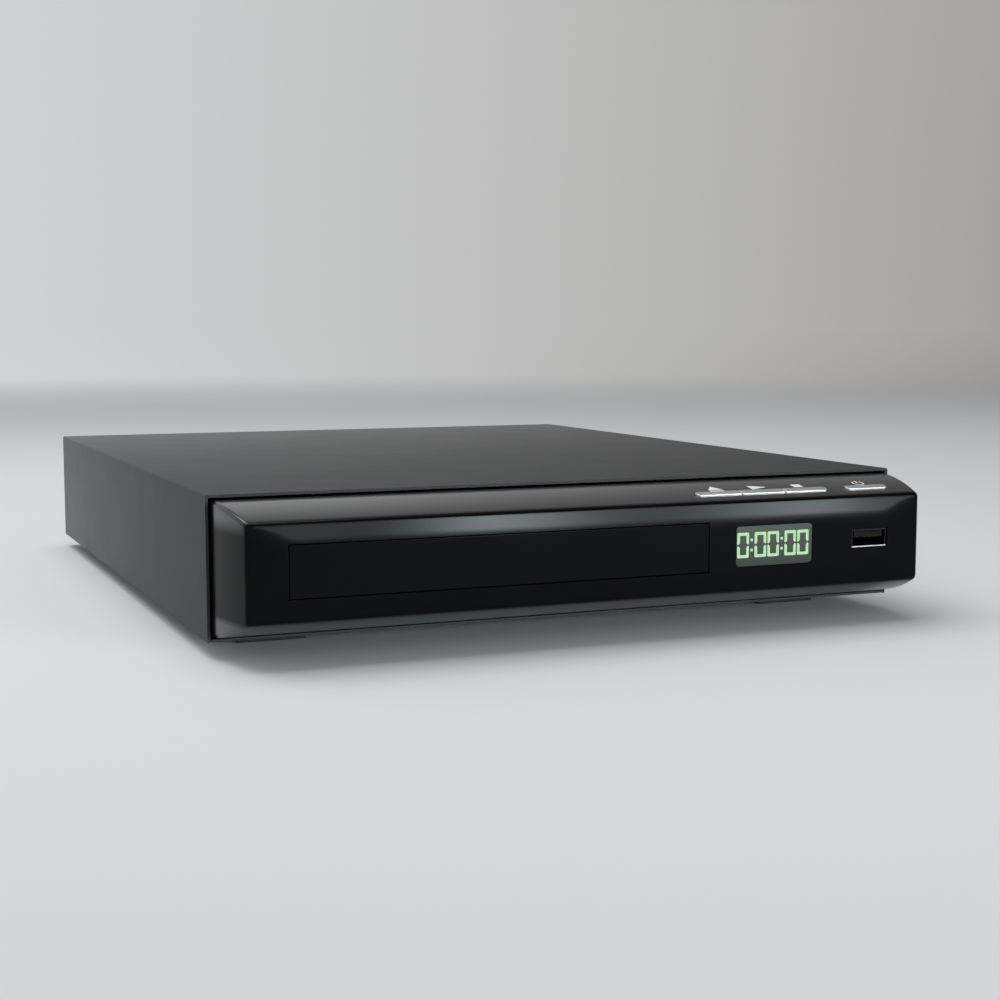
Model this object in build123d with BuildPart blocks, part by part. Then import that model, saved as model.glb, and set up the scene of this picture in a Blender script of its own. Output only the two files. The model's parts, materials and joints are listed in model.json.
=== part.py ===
from build123d import *
import math
import os

os.makedirs("parts", exist_ok=True)

# The player stands on its feet: Z is 0 at their soles, the front looks along -Y,
# and X and Y are 0 at the middle of the whole player. All sizes are in millimetres.

# Case
case_width = 240.0
case_depth = 282.0
case_height = 43.9
cover_sheet = 0.9
cover_bend = 0.7
pan_sheet = 0.8
pan_lift = 0.1
pan_side_gap = 0.3
pan_flange_height = 9.0
pan_flange_setback = 12.0
rear_sheet = 0.8
rear_lip_height = 7.0
foot_height = 5.3
jack_reach = 8.65
seat_gap = 0.3

# Front panel: a moulded shell whose four bevels close in on a slightly crowned face
bezel_edge_reach = 25.35
face_crown = 0.75
bezel_wall = 2.2
bezel_tongue = 4.0
bezel_side_inset = 1.41
bezel_side_lean = 2.2
bezel_side_curve = 2.1
bezel_top_height = 42.5
bezel_top_lean = 1.5
bezel_top_curve = 3.3
bezel_bottom_height = 1.3
bezel_bottom_lean = 3.5
bezel_bottom_curve = 4.2
bezel_corner = 1.2
plateau_inset = 15.7
plateau_low = 15.3
plateau_high = 31.6
plateau_corner = 7.0
bezel_stations = 4

# Display, socket and keys: heights are up from the case's lower edge, and across the front
# the spare room right of the door is shared out between them
window_width = 28.3
window_share = 0.2962
window_low = 16.8
window_high = 29.7
window_corner = 1.0
window_thickness = 1.6
window_inset = 0.25
window_gap = 0.1
window_ledge = 1.2
module_depth = 6.0
module_margin = 0.6
digit_thickness = 0.15
digit_left_margin = 0.35
digit_right_margin = 0.9
digit_low = 19.6
digit_high = 27.7
digit_stroke = 0.95
digit_slots = 5
digit_gap = 0.25
digit_spacing = 0.5
colon_low = 0.3
colon_high = 0.7
colon_width = 1.6
usb_share = 0.2478
usb_height = 23.7
usb_width = 13.3
usb_thickness = 5.7
usb_shell = 0.3
usb_depth = 14.0
usb_setback = 0.6
usb_gap = 0.3
usb_tongue_width = 11.1
usb_tongue_thickness = 1.8
usb_contact_width = 1.0
usb_contact_pitch = 2.5
usb_contact_thickness = 0.15
usb_contact_count = 4
usb_contact_setback = 1.2
bar_reach = 18.7
bar_depth = 3.0
bar_height = 0.5
bar_gap = 0.3
slot_cut_depth = 3.3
key_group_start = -0.6
power_key_inset = 14.4
power_key_length = 15.8
power_key_gap = 7.3
key_flange_drop = 2.9
key_flange_thickness = 1.0
key_flange_margin = 0.9
key_travel = 0.6
key_spare = 0.15
switch_side = 5.0
switch_height = 2.2
plunger_radius = 1.3
plunger_height = 0.9
board_sheet = 1.6
key_board_start = 3.5
key_board_inset = 10.0
key_board_front = 4.0
key_board_back = 9.0
key_post_radius = 2.0
key_post_gap = 1.4
middle_post_gap = 4.1
power_post_gap = 2.4
front_board_start = 6.0
front_board_inset = 9.0
front_board_ledge = 1.0
front_board_low = 9.4
front_board_high = 28.0
receiver_offset = 14.1
receiver_height = 15.0
receiver_side = 6.0
receiver_radius = 1.6

# Feet
foot_width = 24.0
foot_depth = 14.0
foot_taper = 9.0
foot_corner = 1.5
foot_inboard = 13.7
foot_setback = 22.5
foot_peg_radius = 2.4
foot_peg_height = 1.6

# Loader: the frame, the tray and the train that drives it, all as wide as the disc needs
disc_radius = 60.0
disc_gap = 0.6
tray_rim = 4.0
frame_side_room = 8.0
loader_inset = 14.0
frame_wall = 2.0
frame_base = 4.0
frame_base_sheet = 1.6
frame_top = 31.6
frame_front = 2.0
frame_back = 134.1
frame_rear_wall_top = 20.0
pit_left_margin = 18.0
pit_clearance = 0.5
pit_front = 16.0
pit_back = 108.1
rib_thickness = 1.7
rib_reach = 4.0
door_overhang = 4.0
door_low = 15.8
door_high = 31.3
door_gap = 0.3
door_thickness = 3.0
door_corner = 0.6
tray_flange = 3.0
tray_flange_thickness = 1.6
tray_tail = 53.0
tray_low = 23.6
tray_high = 28.5
tray_travel = 130.0
tray_run_gap = 0.3
disc_front_margin = 5.0
disc_floor = 25.6
small_disc_radius = 40.0
small_disc_floor = 24.9
slot_half_width = 19.0
rear_shelf = 26.0
tooth_module = 1.0
tooth_addendum = 0.8
tooth_dedendum = 1.1
tooth_root_width = 1.7
tooth_tip_width = 0.6
tooth_overlap = 0.11
rack_inset = 2.0
rack_height = 4.0
rack_back = 2.6
rack_spare = 7.0
rack_first_tooth = 1.5
drive_gear_place = 17.0
drive_pinion_teeth = 20
drive_wheel_teeth = 24
wheel_thickness = 3.5
pinion_thickness = 3.4
pinion_bottom = 19.8
wheel_bottom = 15.5
axle_radius = 2.0
shaft_clearance = 0.05
pulley_pinion_teeth = 12
pulley_radius = 11.0
pulley_bottom = 11.6
pulley_thickness = 3.2
belt_side = 1.2
belt_sink = 0.9
belt_gap = 0.1
motor_place = 68.0
motor_radius = 10.0
motor_bottom = 1.5
motor_height = 9.3
motor_pulley_radius = 3.0
motor_shaft_radius = 1.0

# Lift: the tilting frame with the spindle and the pickup, placed from the spindle but for its front
lift_side_room = 2.5
lift_rail = 6.0
lift_rear_rail = 10.0
lift_front = 18.0
lift_back = 99.1
lift_low = 12.0
lift_high = 16.0
lift_tab_high = 20.0
pivot_place = 95.1
pivot_height = 14.0
pivot_radius = 2.0
pivot_reach = 3.5
pivot_boss_width = 6.0
pivot_boss_side = 8.0
lift_drop_angle = 3.3
lift_pin_radius = 1.5
lift_pin_height = 18.0
lift_pin_places = (-22.0, 4.0)
cam_front = 6.0
cam_thickness = 3.0
cam_left = 27.0
cam_right = 28.0
cam_low = 5.9
cam_high = 21.0
cam_travel = 20.0
cam_clearance = 0.35
fence_high = 8.5
fence_thickness = 1.5
damper_radius = 3.4
damper_height = 2.5
damper_inset = 4.0
damper_front = 5.0
damper_back = 83.1
deck_sheet = 1.0
deck_margin = 1.0
deck_front = 24.0
deck_back = 88.1
deck_wing_rim = 1.0
deck_wing_half = 9.0
deck_window_front = 13.5
deck_window_back = 79.1
spindle_motor_radius = 12.5
spindle_motor_height = 4.9
spindle_shaft_radius = 1.0
turntable_radius = 14.5
turntable_thickness = 2.3
turntable_lift = 0.3
hub_radius = 7.4
hub_top_radius = 6.0
hub_height = 1.6
rod_radius = 1.5
rod_inset = 2.6
rod_height = 21.2
rod_front = 4.1
rod_back = 83.1
rod_block_side = 4.0
rod_block_length = 3.0
rod_clearance = 0.03
sled_side_room = 12.4
sled_front = 14.1
sled_back = 42.1
sled_low = 16.4
sled_high = 22.9
sled_travel = 34.0
lens_place = 24.1
lens_holder_side = 12.0
lens_holder_height = 1.7
lens_radius = 2.2
lens_rise = 0.8
lens_bevel = 0.6
sled_rack_spare = 4.0
sled_first_tooth = 0.5
sled_gear_place = 50.1
sled_gear_teeth = 12
sled_gear_bottom = 20.0
sled_gear_thickness = 2.6
sled_axle_radius = 1.0
sled_motor_radius = 7.0
sled_motor_gap = 1.0
sled_motor_height = 8.0

# Clamp over the disc
clamper_radius = 15.0
clamper_thickness = 2.3
clamper_neck_radius = 7.0
clamper_cap_radius = 11.5
clamper_cap_thickness = 1.5
clamper_play = 1.1
hub_pocket_radius = 8.0
hub_pocket_depth = 1.7
magnet_radius = 5.4
magnet_height = 1.2
magnet_gap = 0.05
bridge_sheet = 1.5
bridge_half_depth = 16.0
bridge_hole_radius = 8.6

# Boards at the back and at the right
standoff_radius = 3.0
standoff_bore = 1.35
screw_shank_radius = 1.25
screw_head_radius = 2.7
screw_head_height = 1.6
screw_length = 5.0
board_hole_radius = 1.6
board_level = 8.0
board_hole_inset = 4.5
main_board_inset = 8.0
main_board_overlap = 9.0
main_board_gap = 10.0
main_board_rear_gap = 10.0
power_board_gap = 12.0
power_board_inset = 6.0
power_board_front = 112.0
power_board_rear_gap = 24.0
loader_post_inset = 6.0
cover_screw_inset = 20.0
cover_screw_drop = 4.0
cover_screw_head = 2.9
cover_screw_reach = 4.0

# What the boards carry, and the ribbon cable between them
chip_side = 20.0
chip_height = 1.8
chip_inset = 88.0
chip_share = 0.64
memory_count = 3
can_radius = 3.2
can_height = 8.0
can_inset = 9.2
can_setback = 12.0
can_count = 4
can_pitch = 9.6
memory_width = 18.0
memory_depth = 10.0
memory_pitch = 26.0
memory_setback = 18.0
fin_count = 6
fin_sheet = 1.2
sink_base = 1.5
sink_height = 9.0
ribbon_width = 7.0
ribbon_sheet = 0.4
ribbon_bend = 2.5
ribbon_level = 6.2
ribbon_gap = 1.7
plug_height = 5.0
plug_depth = 4.0
ribbon_plug_setback = 12.0
front_plug_lift = 3.0
core_width = 26.0
core_depth = 22.0
core_height = 17.0
winding_margin = 3.0
winding_gap = 0.1
core_place = 8.0
core_setback = 50.0
reservoir_radius = 8.0
reservoir_length = 32.0
output_can_radius = 5.0
output_can_height = 16.0
reservoir_gap = 8.0
reservoir_place = 20.0
output_can_count = 3
output_can_pitch = 12.0
output_can_place = 8.0
output_can_setback = 25.0

# Sockets in the rear panel
inlet_inset = 32.0
inlet_level = 21.0
inlet_width = 22.0
inlet_height = 13.0
inlet_depth = 18.0
inlet_mouth_width = 16.2
inlet_mouth_height = 8.8
inlet_mouth_depth = 11.0
inlet_lip = 1.6
inlet_lip_margin = 1.8
inlet_pin_radius = 1.18
inlet_pin_pitch = 8.6
inlet_pin_length = 9.3
jack_outer_radius = 4.15
jack_wall = 0.45
jack_hole_radius = 1.6
jack_pitch = 14.0
jack_level = 20.5
jack_inset = 28.0
jack_count = 4
jack_body_depth = 12.0
jack_body_side = 12.0
jack_plate = 1.5
video_middle = -14.0
video_width = 15.0
video_narrow = 11.0
video_height = 5.6
video_shell = 0.5
video_depth = 12.0
video_level = 13.4
video_wall = 1.0
video_tongue_setback = 1.5
video_shoulder = 0.7
cutout_gap = 0.3
vent_slots = 9
power_vent_slots = 6
vent_width = 2.2
vent_length = 24.0
vent_pitch = 6.0

# Places that follow from the sizes above
bezel_reach = bezel_edge_reach + face_crown
total_depth = bezel_reach + case_depth + jack_reach
case_front = bezel_reach - total_depth / 2
case_back = case_front + case_depth
base = foot_height
case_top = base + case_height
half_case = case_width / 2
plateau_half_width = half_case - plateau_inset
pan_half = half_case - cover_sheet - pan_side_gap
pan_bottom = base + pan_lift
pan_top = pan_bottom + pan_sheet
face_y = case_front - bezel_reach
edge_y = case_front - bezel_edge_reach
rear_outer = case_back - rear_sheet
rear_inner = rear_outer - rear_sheet
tray_half_width = disc_radius + tray_rim
frame_half_width = tray_half_width + frame_side_room
door_half_width = tray_half_width + door_overhang
loader_middle = loader_inset + frame_half_width - half_case
frame_right = loader_middle + frame_half_width
door_left = loader_middle - door_half_width
door_right = loader_middle + door_half_width
door_back = face_y + door_thickness
disc_place = disc_radius + disc_front_margin
tray_length = disc_place + disc_radius + tray_tail
spindle_y = door_back + disc_place
usb_inset = front_board_inset + front_board_ledge + usb_gap
face_spare = half_case - usb_inset - door_right - window_width - usb_width
window_left = door_right + face_spare * window_share
window_right = window_left + window_width
usb_middle = half_case - usb_inset - face_spare * usb_share - usb_width / 2
receiver_middle = usb_middle - receiver_offset
power_key_right = half_case - power_key_inset
power_key_left = power_key_right - power_key_length
key_group_left = door_right + key_group_start
key_group_right = power_key_left - power_key_gap
key_board_left = key_group_left - key_board_start
key_board_right = half_case - key_board_inset
key_post_places = (
    key_group_left - key_post_gap,
    key_group_right + middle_post_gap,
    power_key_right + power_post_gap,
)
front_board_left = door_right + front_board_start
front_board_right = half_case - front_board_inset
digit_left = window_left + digit_left_margin
digit_right = window_right - digit_right_margin
gear_y = case_front + drive_gear_place
rack_offset = tray_half_width - rack_inset
rack_x = loader_middle + rack_offset
drive_pinion_radius = drive_pinion_teeth * tooth_module / 2
drive_wheel_radius = drive_wheel_teeth * tooth_module / 2
pit_left = frame_half_width - pit_left_margin
pit_right = rack_offset - drive_pinion_radius - drive_wheel_radius - pit_clearance
lift_half_width = pit_right - lift_side_room
deck_half_width = lift_half_width - deck_margin
sled_half_width = lift_half_width - sled_side_room
rod_spread = sled_half_width - rod_inset
pulley_pinion_radius = pulley_pinion_teeth * tooth_module / 2
gear_x = rack_x - drive_pinion_radius
pulley_y = gear_y + drive_wheel_radius + pulley_pinion_radius
motor_y = case_front + motor_place
frame_low = base + frame_base
frame_floor = frame_low + frame_base_sheet
frame_inner = frame_half_width - frame_wall
pivot_y = spindle_y + pivot_place
pivot_z = base + pivot_height
deck_low = base + lift_high + damper_height
deck_high = deck_low + deck_sheet
rod_z = base + rod_height
sled_gear_radius = sled_gear_teeth * tooth_module / 2
sled_pinion_x = loader_middle - lift_half_width - sled_motor_gap - sled_motor_radius
sled_gear_x = sled_pinion_x + 2 * sled_gear_radius
sled_rack_x = sled_gear_x + sled_gear_radius
deck_wing_left = sled_pinion_x - sled_motor_radius - deck_wing_rim
sled_gear_y = spindle_y + sled_gear_place
spindle_motor_top = deck_high + spindle_motor_height
turntable_low = spindle_motor_top + turntable_lift
turntable_top = turntable_low + turntable_thickness
bridge_low = base + frame_top
bridge_top = bridge_low + bridge_sheet
clamper_low = turntable_top + seat_gap
clamper_high = clamper_low + clamper_thickness
cap_low = bridge_top + clamper_play
cap_top = cap_low + clamper_cap_thickness
board_low = base + board_level
board_high = board_low + board_sheet
main_board_left = main_board_inset - half_case
main_board_right = frame_right + main_board_overlap
main_board_front = spindle_y + frame_back + main_board_gap
main_board_back = case_back - main_board_rear_gap
power_board_left = frame_right + power_board_gap
power_board_right = half_case - power_board_inset
power_board_low = case_front + power_board_front
power_board_back = case_back - power_board_rear_gap
cover_screw_spread = half_case - cover_screw_inset
inlet_middle = half_case - inlet_inset
jack_first = jack_inset - half_case
key_pitch = (key_group_right - key_group_left) / 3
tooth_pitch = math.pi * tooth_module


def bezel_y(t):
    """Gives the plane of the front panel at t, 0 at the case and 1 at the face's edge."""
    return case_front - bezel_edge_reach * t


def bezel_half_width(t):
    return half_case - bezel_side_inset - bezel_side_lean * t - bezel_side_curve * t * t


def bezel_top(t):
    return base + bezel_top_height - bezel_top_lean * t - bezel_top_curve * t * t


def bezel_bottom(t):
    return base + bezel_bottom_height + bezel_bottom_lean * t + bezel_bottom_curve * t * t


def bezel_outline(t, inset):
    """Draws the panel's rounded outline at t, drawn in by inset, on the sketch in hand."""
    height = bezel_top(t) - bezel_bottom(t) - 2 * inset
    with Locations((0, (bezel_top(t) + bezel_bottom(t)) / 2)):
        RectangleRounded(2 * (bezel_half_width(t) - inset), height, bezel_corner)


def block(x_span, y_span, z_span, mode=Mode.ADD):
    """Adds a box between three pairs of coordinates to the piece in hand."""
    spans = (x_span, y_span, z_span)
    with Locations(tuple((low + high) / 2 for low, high in spans)):
        Box(*(high - low for low, high in spans), mode=mode)


def drum(x, y, z_span, radius, mode=Mode.ADD):
    """Adds an upright cylinder to the piece in hand."""
    low, high = z_span
    with Locations((x, y, (low + high) / 2)):
        Cylinder(radius, high - low, mode=mode)


def lying_drum(x, y_span, z, radius, mode=Mode.ADD):
    """Adds a cylinder that lies along Y to the piece in hand."""
    low, high = y_span
    with Locations(Location((x, (low + high) / 2, z), (90, 0, 0))):
        Cylinder(radius, high - low, mode=mode)


def tooth(direction=1):
    """Draws one tooth that points along X from its pitch line at the sketch's place."""
    root = -tooth_dedendum * direction
    tip = tooth_addendum * direction
    Polygon(
        (root, -tooth_root_width / 2),
        (tip, -tooth_tip_width / 2),
        (tip, tooth_tip_width / 2),
        (root, tooth_root_width / 2),
        align=None,
    )


def gear_outline(teeth, turn=0.0):
    """Draws a spur gear with a tooth at the angle turn."""
    radius = teeth * tooth_module / 2
    Circle(radius - tooth_dedendum + tooth_overlap)
    with PolarLocations(radius, teeth, start_angle=turn):
        tooth()


# Plane of the keys, square to the top bevel where they stand
bar_t = bar_reach / bezel_edge_reach
bevel_fall = (bezel_top_lean + 2 * bezel_top_curve * bar_t) / bezel_edge_reach
bevel_angle = math.atan(bevel_fall)
bevel_normal = (0, -math.sin(bevel_angle), math.cos(bevel_angle))
key_plane = Plane(origin=(0, bezel_y(bar_t), bezel_top(bar_t)), x_dir=(1, 0, 0), z_dir=bevel_normal)
flange_top = -key_flange_drop
flange_bottom = flange_top - key_flange_thickness
plunger_top = flange_bottom - key_travel - key_spare
switch_top = plunger_top - plunger_height
key_board_top = switch_top - switch_height


# Top cover: one sheet bent down at both sides, with a lip over the rear panel
with BuildPart() as top_cover:
    with BuildSketch(Plane.XZ.offset(-case_back)) as cover_section:
        with Locations((0, base + case_height / 2)):
            Rectangle(case_width, case_height)
        fillet(cover_section.vertices().group_by(Axis.Y)[-1], radius=cover_bend)
        with Locations((0, base + (case_height - cover_sheet) / 2)):
            Rectangle(case_width - 2 * cover_sheet, case_height - cover_sheet, mode=Mode.SUBTRACT)
    extrude(amount=case_depth)
    lip_half = half_case - cover_sheet
    lip_low = case_top - cover_sheet - rear_lip_height
    block((-lip_half, lip_half), (rear_outer, case_back), (lip_low, case_top - cover_sheet))
    for screw_x in (-cover_screw_spread, 0, cover_screw_spread):
        screw_z = case_top - cover_sheet - cover_screw_drop
        lying_drum(screw_x, (rear_outer, case_back), screw_z, board_hole_radius, Mode.SUBTRACT)
top_cover.part.label = "top_cover"
export_step(top_cover.part, "parts/top_cover.step")

# Bottom pan with turned-up sides and vent slots under the boards
with BuildPart() as bottom_chassis:
    block((-pan_half, pan_half), (case_front, rear_outer), (pan_bottom, pan_top))
    for side in (-1, 1):
        flange = sorted((side * pan_half, side * (pan_half - pan_sheet)))
        flange_span = (case_front + pan_flange_setback, rear_inner - 2 * pan_sheet)
        block(flange, flange_span, (pan_top, pan_top + pan_flange_height))
    for vent_x, vent_y, slots in (
        (main_board_left, main_board_front, vent_slots),
        (power_board_left, power_board_low, power_vent_slots),
    ):
        for number in range(slots):
            slot_x = vent_x + vent_pitch + number * vent_pitch
            slot_span = (vent_y + vent_length, vent_y + 2 * vent_length)
            pan_span = (pan_bottom, pan_top)
            block((slot_x, slot_x + vent_width), slot_span, pan_span, Mode.SUBTRACT)
    for side in (-1, 1):
        for foot_y in (case_front + foot_setback, case_back - foot_setback):
            inward = foot_depth / 2 if foot_y < 0 else -foot_depth / 2
            peg_x = side * (half_case - foot_inboard - foot_width / 2)
            peg_radius = foot_peg_radius + shaft_clearance
            drum(peg_x, foot_y + inward, (pan_bottom, pan_top), peg_radius, Mode.SUBTRACT)
bottom_chassis.part.label = "bottom_chassis"
export_step(bottom_chassis.part, "parts/bottom_chassis.step")

# Feet: four tapered rubber pads pegged into the pan
for end_name, foot_y, inward in (
    ("front", case_front + foot_setback, foot_depth / 2),
    ("rear", case_back - foot_setback, -foot_depth / 2),
):
    for side_name, side in (("left", -1), ("right", 1)):
        foot_x = side * (half_case - foot_inboard - foot_width / 2)
        with BuildPart() as foot:
            with BuildSketch(Plane.XY.offset(pan_bottom)):
                with Locations((foot_x, foot_y + inward)):
                    RectangleRounded(foot_width, foot_depth, foot_corner)
            extrude(amount=-pan_bottom, taper=foot_taper)
            drum(foot_x, foot_y + inward, (pan_bottom, pan_bottom + foot_peg_height), foot_peg_radius)
        foot_name = f"foot_{end_name}_{side_name}"
        foot.part.label = foot_name
        export_step(foot.part, f"parts/{foot_name}.step")

# Rear panel with its sockets' cutouts
jack_places = [jack_first + number * jack_pitch for number in range(jack_count)]
jack_z = base + jack_level
inlet_z = base + inlet_level
video_z = base + video_level
with BuildPart() as rear_panel:
    rear_span = (rear_inner, rear_outer)
    block((-pan_half, pan_half), rear_span, (pan_top, case_top - cover_sheet - seat_gap))
    for jack_x in jack_places:
        lying_drum(jack_x, rear_span, jack_z, jack_outer_radius + cutout_gap, Mode.SUBTRACT)
    inlet_half = inlet_width / 2 + cutout_gap
    inlet_rise = inlet_height / 2 + cutout_gap
    inlet_spans = (inlet_middle - inlet_half, inlet_middle + inlet_half)
    block(inlet_spans, rear_span, (inlet_z - inlet_rise, inlet_z + inlet_rise), Mode.SUBTRACT)
    video_half = video_width / 2 + cutout_gap
    video_rise = video_height / 2 + cutout_gap
    video_spans = (video_middle - video_half, video_middle + video_half)
    block(video_spans, rear_span, (video_z - video_rise, video_z + video_rise), Mode.SUBTRACT)
    for screw_x in (-cover_screw_spread, 0, cover_screw_spread):
        screw_z = case_top - cover_sheet - cover_screw_drop
        lying_drum(screw_x, rear_span, screw_z, standoff_bore, Mode.SUBTRACT)
    for number in range(vent_slots):
        slot_x = video_middle + video_width + number * vent_pitch
        slot_z = (jack_z - vent_length / 4, jack_z + vent_length / 4)
        block((slot_x, slot_x + vent_width), rear_span, slot_z, Mode.SUBTRACT)
rear_panel.part.label = "rear_panel"
export_step(rear_panel.part, "parts/rear_panel.step")

with BuildPart() as cover_screws:
    for screw_x in (-cover_screw_spread, 0, cover_screw_spread):
        screw_z = case_top - cover_sheet - cover_screw_drop
        lying_drum(screw_x, (case_back, case_back + screw_head_height), screw_z, cover_screw_head)
        lying_drum(screw_x, (case_back - cover_screw_reach, case_back), screw_z, screw_shank_radius)
cover_screws.part.label = "cover_screws"
export_step(cover_screws.part, "parts/cover_screws.step")

# Front panel
usb_z = base + usb_height
bar_spans = [
    (key_group_left + number * key_pitch, key_group_left + (number + 1) * key_pitch - bar_gap)
    for number in range(3)
]
bar_spans.append((power_key_left, power_key_right))
slot_spans = [(bar_spans[0][0], bar_spans[2][1]), bar_spans[3]]
with BuildPart() as front_panel:
    for station in range(bezel_stations):
        t = station / (bezel_stations - 1)
        with BuildSketch(Plane.XZ.offset(-bezel_y(t))):
            bezel_outline(t, 0)
    loft()
    with BuildSketch(Plane.XZ.offset(-edge_y)):
        bezel_outline(1, 0)
    with BuildSketch(Plane.XZ.offset(-face_y)):
        with Locations((0, base + (plateau_low + plateau_high) / 2)):
            RectangleRounded(2 * plateau_half_width, plateau_high - plateau_low, plateau_corner)
    loft(ruled=True)
    with BuildSketch(Plane.XZ.offset(-case_front)):
        bezel_outline(0, 0)
    extrude(amount=-bezel_tongue)
    inner_end = 1 - bezel_wall / bezel_edge_reach
    for station in range(bezel_stations):
        t = inner_end * station / (bezel_stations - 1)
        with BuildSketch(Plane.XZ.offset(-bezel_y(t))):
            bezel_outline(t, bezel_wall)
    loft(ruled=True, mode=Mode.SUBTRACT)
    with BuildSketch(Plane.XZ.offset(-case_front)):
        bezel_outline(0, bezel_wall)
    extrude(amount=-bezel_tongue, mode=Mode.SUBTRACT)
    wall_span = (face_y - seat_gap, edge_y + bezel_wall + seat_gap)
    door_x = (door_left - door_gap, door_right + door_gap)
    door_z = (base + door_low - door_gap, base + door_high + door_gap)
    block(door_x, wall_span, door_z, Mode.SUBTRACT)
    window_x = (window_left - window_gap, window_right + window_gap)
    window_z = (base + window_low - window_gap, base + window_high + window_gap)
    window_back = face_y + window_inset + window_thickness
    block(window_x, (face_y, window_back), window_z, Mode.SUBTRACT)
    view_x = (window_left + window_ledge, window_right - window_ledge)
    view_z = (base + window_low + window_ledge, base + window_high - window_ledge)
    block(view_x, wall_span, view_z, Mode.SUBTRACT)
    usb_half = usb_width / 2 + usb_gap
    usb_rise = usb_thickness / 2 + usb_gap
    usb_x = (usb_middle - usb_half, usb_middle + usb_half)
    block(usb_x, wall_span, (usb_z - usb_rise, usb_z + usb_rise), Mode.SUBTRACT)
    for slot_left, slot_right in slot_spans:
        with BuildSketch(key_plane):
            with Locations(((slot_left + slot_right) / 2, 0)):
                Rectangle(slot_right - slot_left + 2 * bar_gap, bar_depth + 2 * bar_gap)
        extrude(amount=slot_cut_depth, both=True, mode=Mode.SUBTRACT)
    with BuildSketch(key_plane.offset(key_board_top)):
        with Locations(*((post_x, key_board_back / 2) for post_x in key_post_places)):
            Circle(key_post_radius)
    extrude(amount=-key_board_top - bezel_wall / 2)
front_panel.part.label = "front_panel"
export_step(front_panel.part, "parts/front_panel.step")

# Tray front: the piece of the face that travels out with the tray
with BuildPart() as tray_front:
    door_x = (door_left, door_right)
    door_z = (base + door_low, base + door_high)
    block(door_x, (face_y, door_back), door_z)
    door_edges = tray_front.edges().filter_by(Axis.Y)
    fillet(door_edges, radius=door_corner)
tray_front.part.label = "tray_front"
export_step(tray_front.part, "parts/tray_front.step")

# Display window, its module and the lit figures
with BuildPart() as display_window:
    with BuildSketch(Plane.XZ.offset(-window_back)):
        with Locations(((window_left + window_right) / 2, base + (window_low + window_high) / 2)):
            RectangleRounded(window_right - window_left, window_high - window_low, window_corner)
    extrude(amount=window_thickness)
display_window.part.label = "display_window"
export_step(display_window.part, "parts/display_window.step")

module_front = window_back
module_back = module_front + module_depth
with BuildPart() as display_module:
    module_x = (view_x[0] + module_margin, view_x[1] - module_margin)
    module_z = (view_z[0] + module_margin, view_z[1] - module_margin)
    block(module_x, (module_front, module_back), module_z)
display_module.part.label = "display_module"
export_step(display_module.part, "parts/display_module.step")

# Figures 0:00:00 made of bars, on the window's outer face
digit_height = digit_high - digit_low
digit_space = (digit_right - digit_left - 2 * colon_width) / digit_slots
digit_width = digit_space - digit_spacing
with BuildPart() as display_digits:
    with BuildSketch(Plane.XZ.offset(-(face_y + window_inset))):
        pen = digit_left
        for sign in "0:00:00":
            if sign == ":":
                for dot_z in (digit_low + digit_height * colon_low, digit_low + digit_height * colon_high):
                    with Locations((pen + colon_width / 2 - digit_gap, base + dot_z)):
                        Rectangle(digit_stroke, digit_stroke)
                pen += colon_width
            else:
                middle_x = pen + digit_width / 2
                bar_width = digit_width - 2 * digit_stroke
                bar_length = digit_height / 2 - digit_stroke / 2 - digit_gap
                low_z = base + digit_low + digit_stroke / 2
                high_z = base + digit_high - digit_stroke / 2
                with Locations((middle_x, low_z), (middle_x, high_z)):
                    Rectangle(bar_width, digit_stroke)
                left_x = pen + digit_stroke / 2
                right_x = pen + digit_width - digit_stroke / 2
                for upright_x in (left_x, right_x):
                    for quarter in (1, 3):
                        with Locations((upright_x, base + digit_low + quarter * digit_height / 4)):
                            Rectangle(digit_stroke, bar_length)
                pen += digit_space
    extrude(amount=digit_thickness)
display_digits.part.label = "display_digits"
export_step(display_digits.part, "parts/display_digits.step")

# Front board, upright behind the display, and what it carries
board_face = module_back
with BuildPart() as front_board:
    board_y = (board_face, board_face + board_sheet)
    board_x = (front_board_left, front_board_right)
    block(board_x, board_y, (base + front_board_low, base + front_board_high))
    block(usb_x, board_y, (usb_z - usb_rise, usb_z + usb_rise), Mode.SUBTRACT)
front_board.part.label = "front_board"
export_step(front_board.part, "parts/front_board.step")

with BuildPart() as ir_receiver:
    receiver_x = (receiver_middle - receiver_side / 2, receiver_middle + receiver_side / 2)
    receiver_z = base + receiver_height
    receiver_spans = (receiver_z - receiver_side / 2, receiver_z + receiver_side / 2)
    block(receiver_x, (board_face - receiver_side / 2, board_face), receiver_spans)
    with Locations((receiver_middle, board_face - receiver_side / 2, receiver_z)):
        Sphere(receiver_radius)
ir_receiver.part.label = "ir_receiver"
export_step(ir_receiver.part, "parts/ir_receiver.step")

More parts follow.
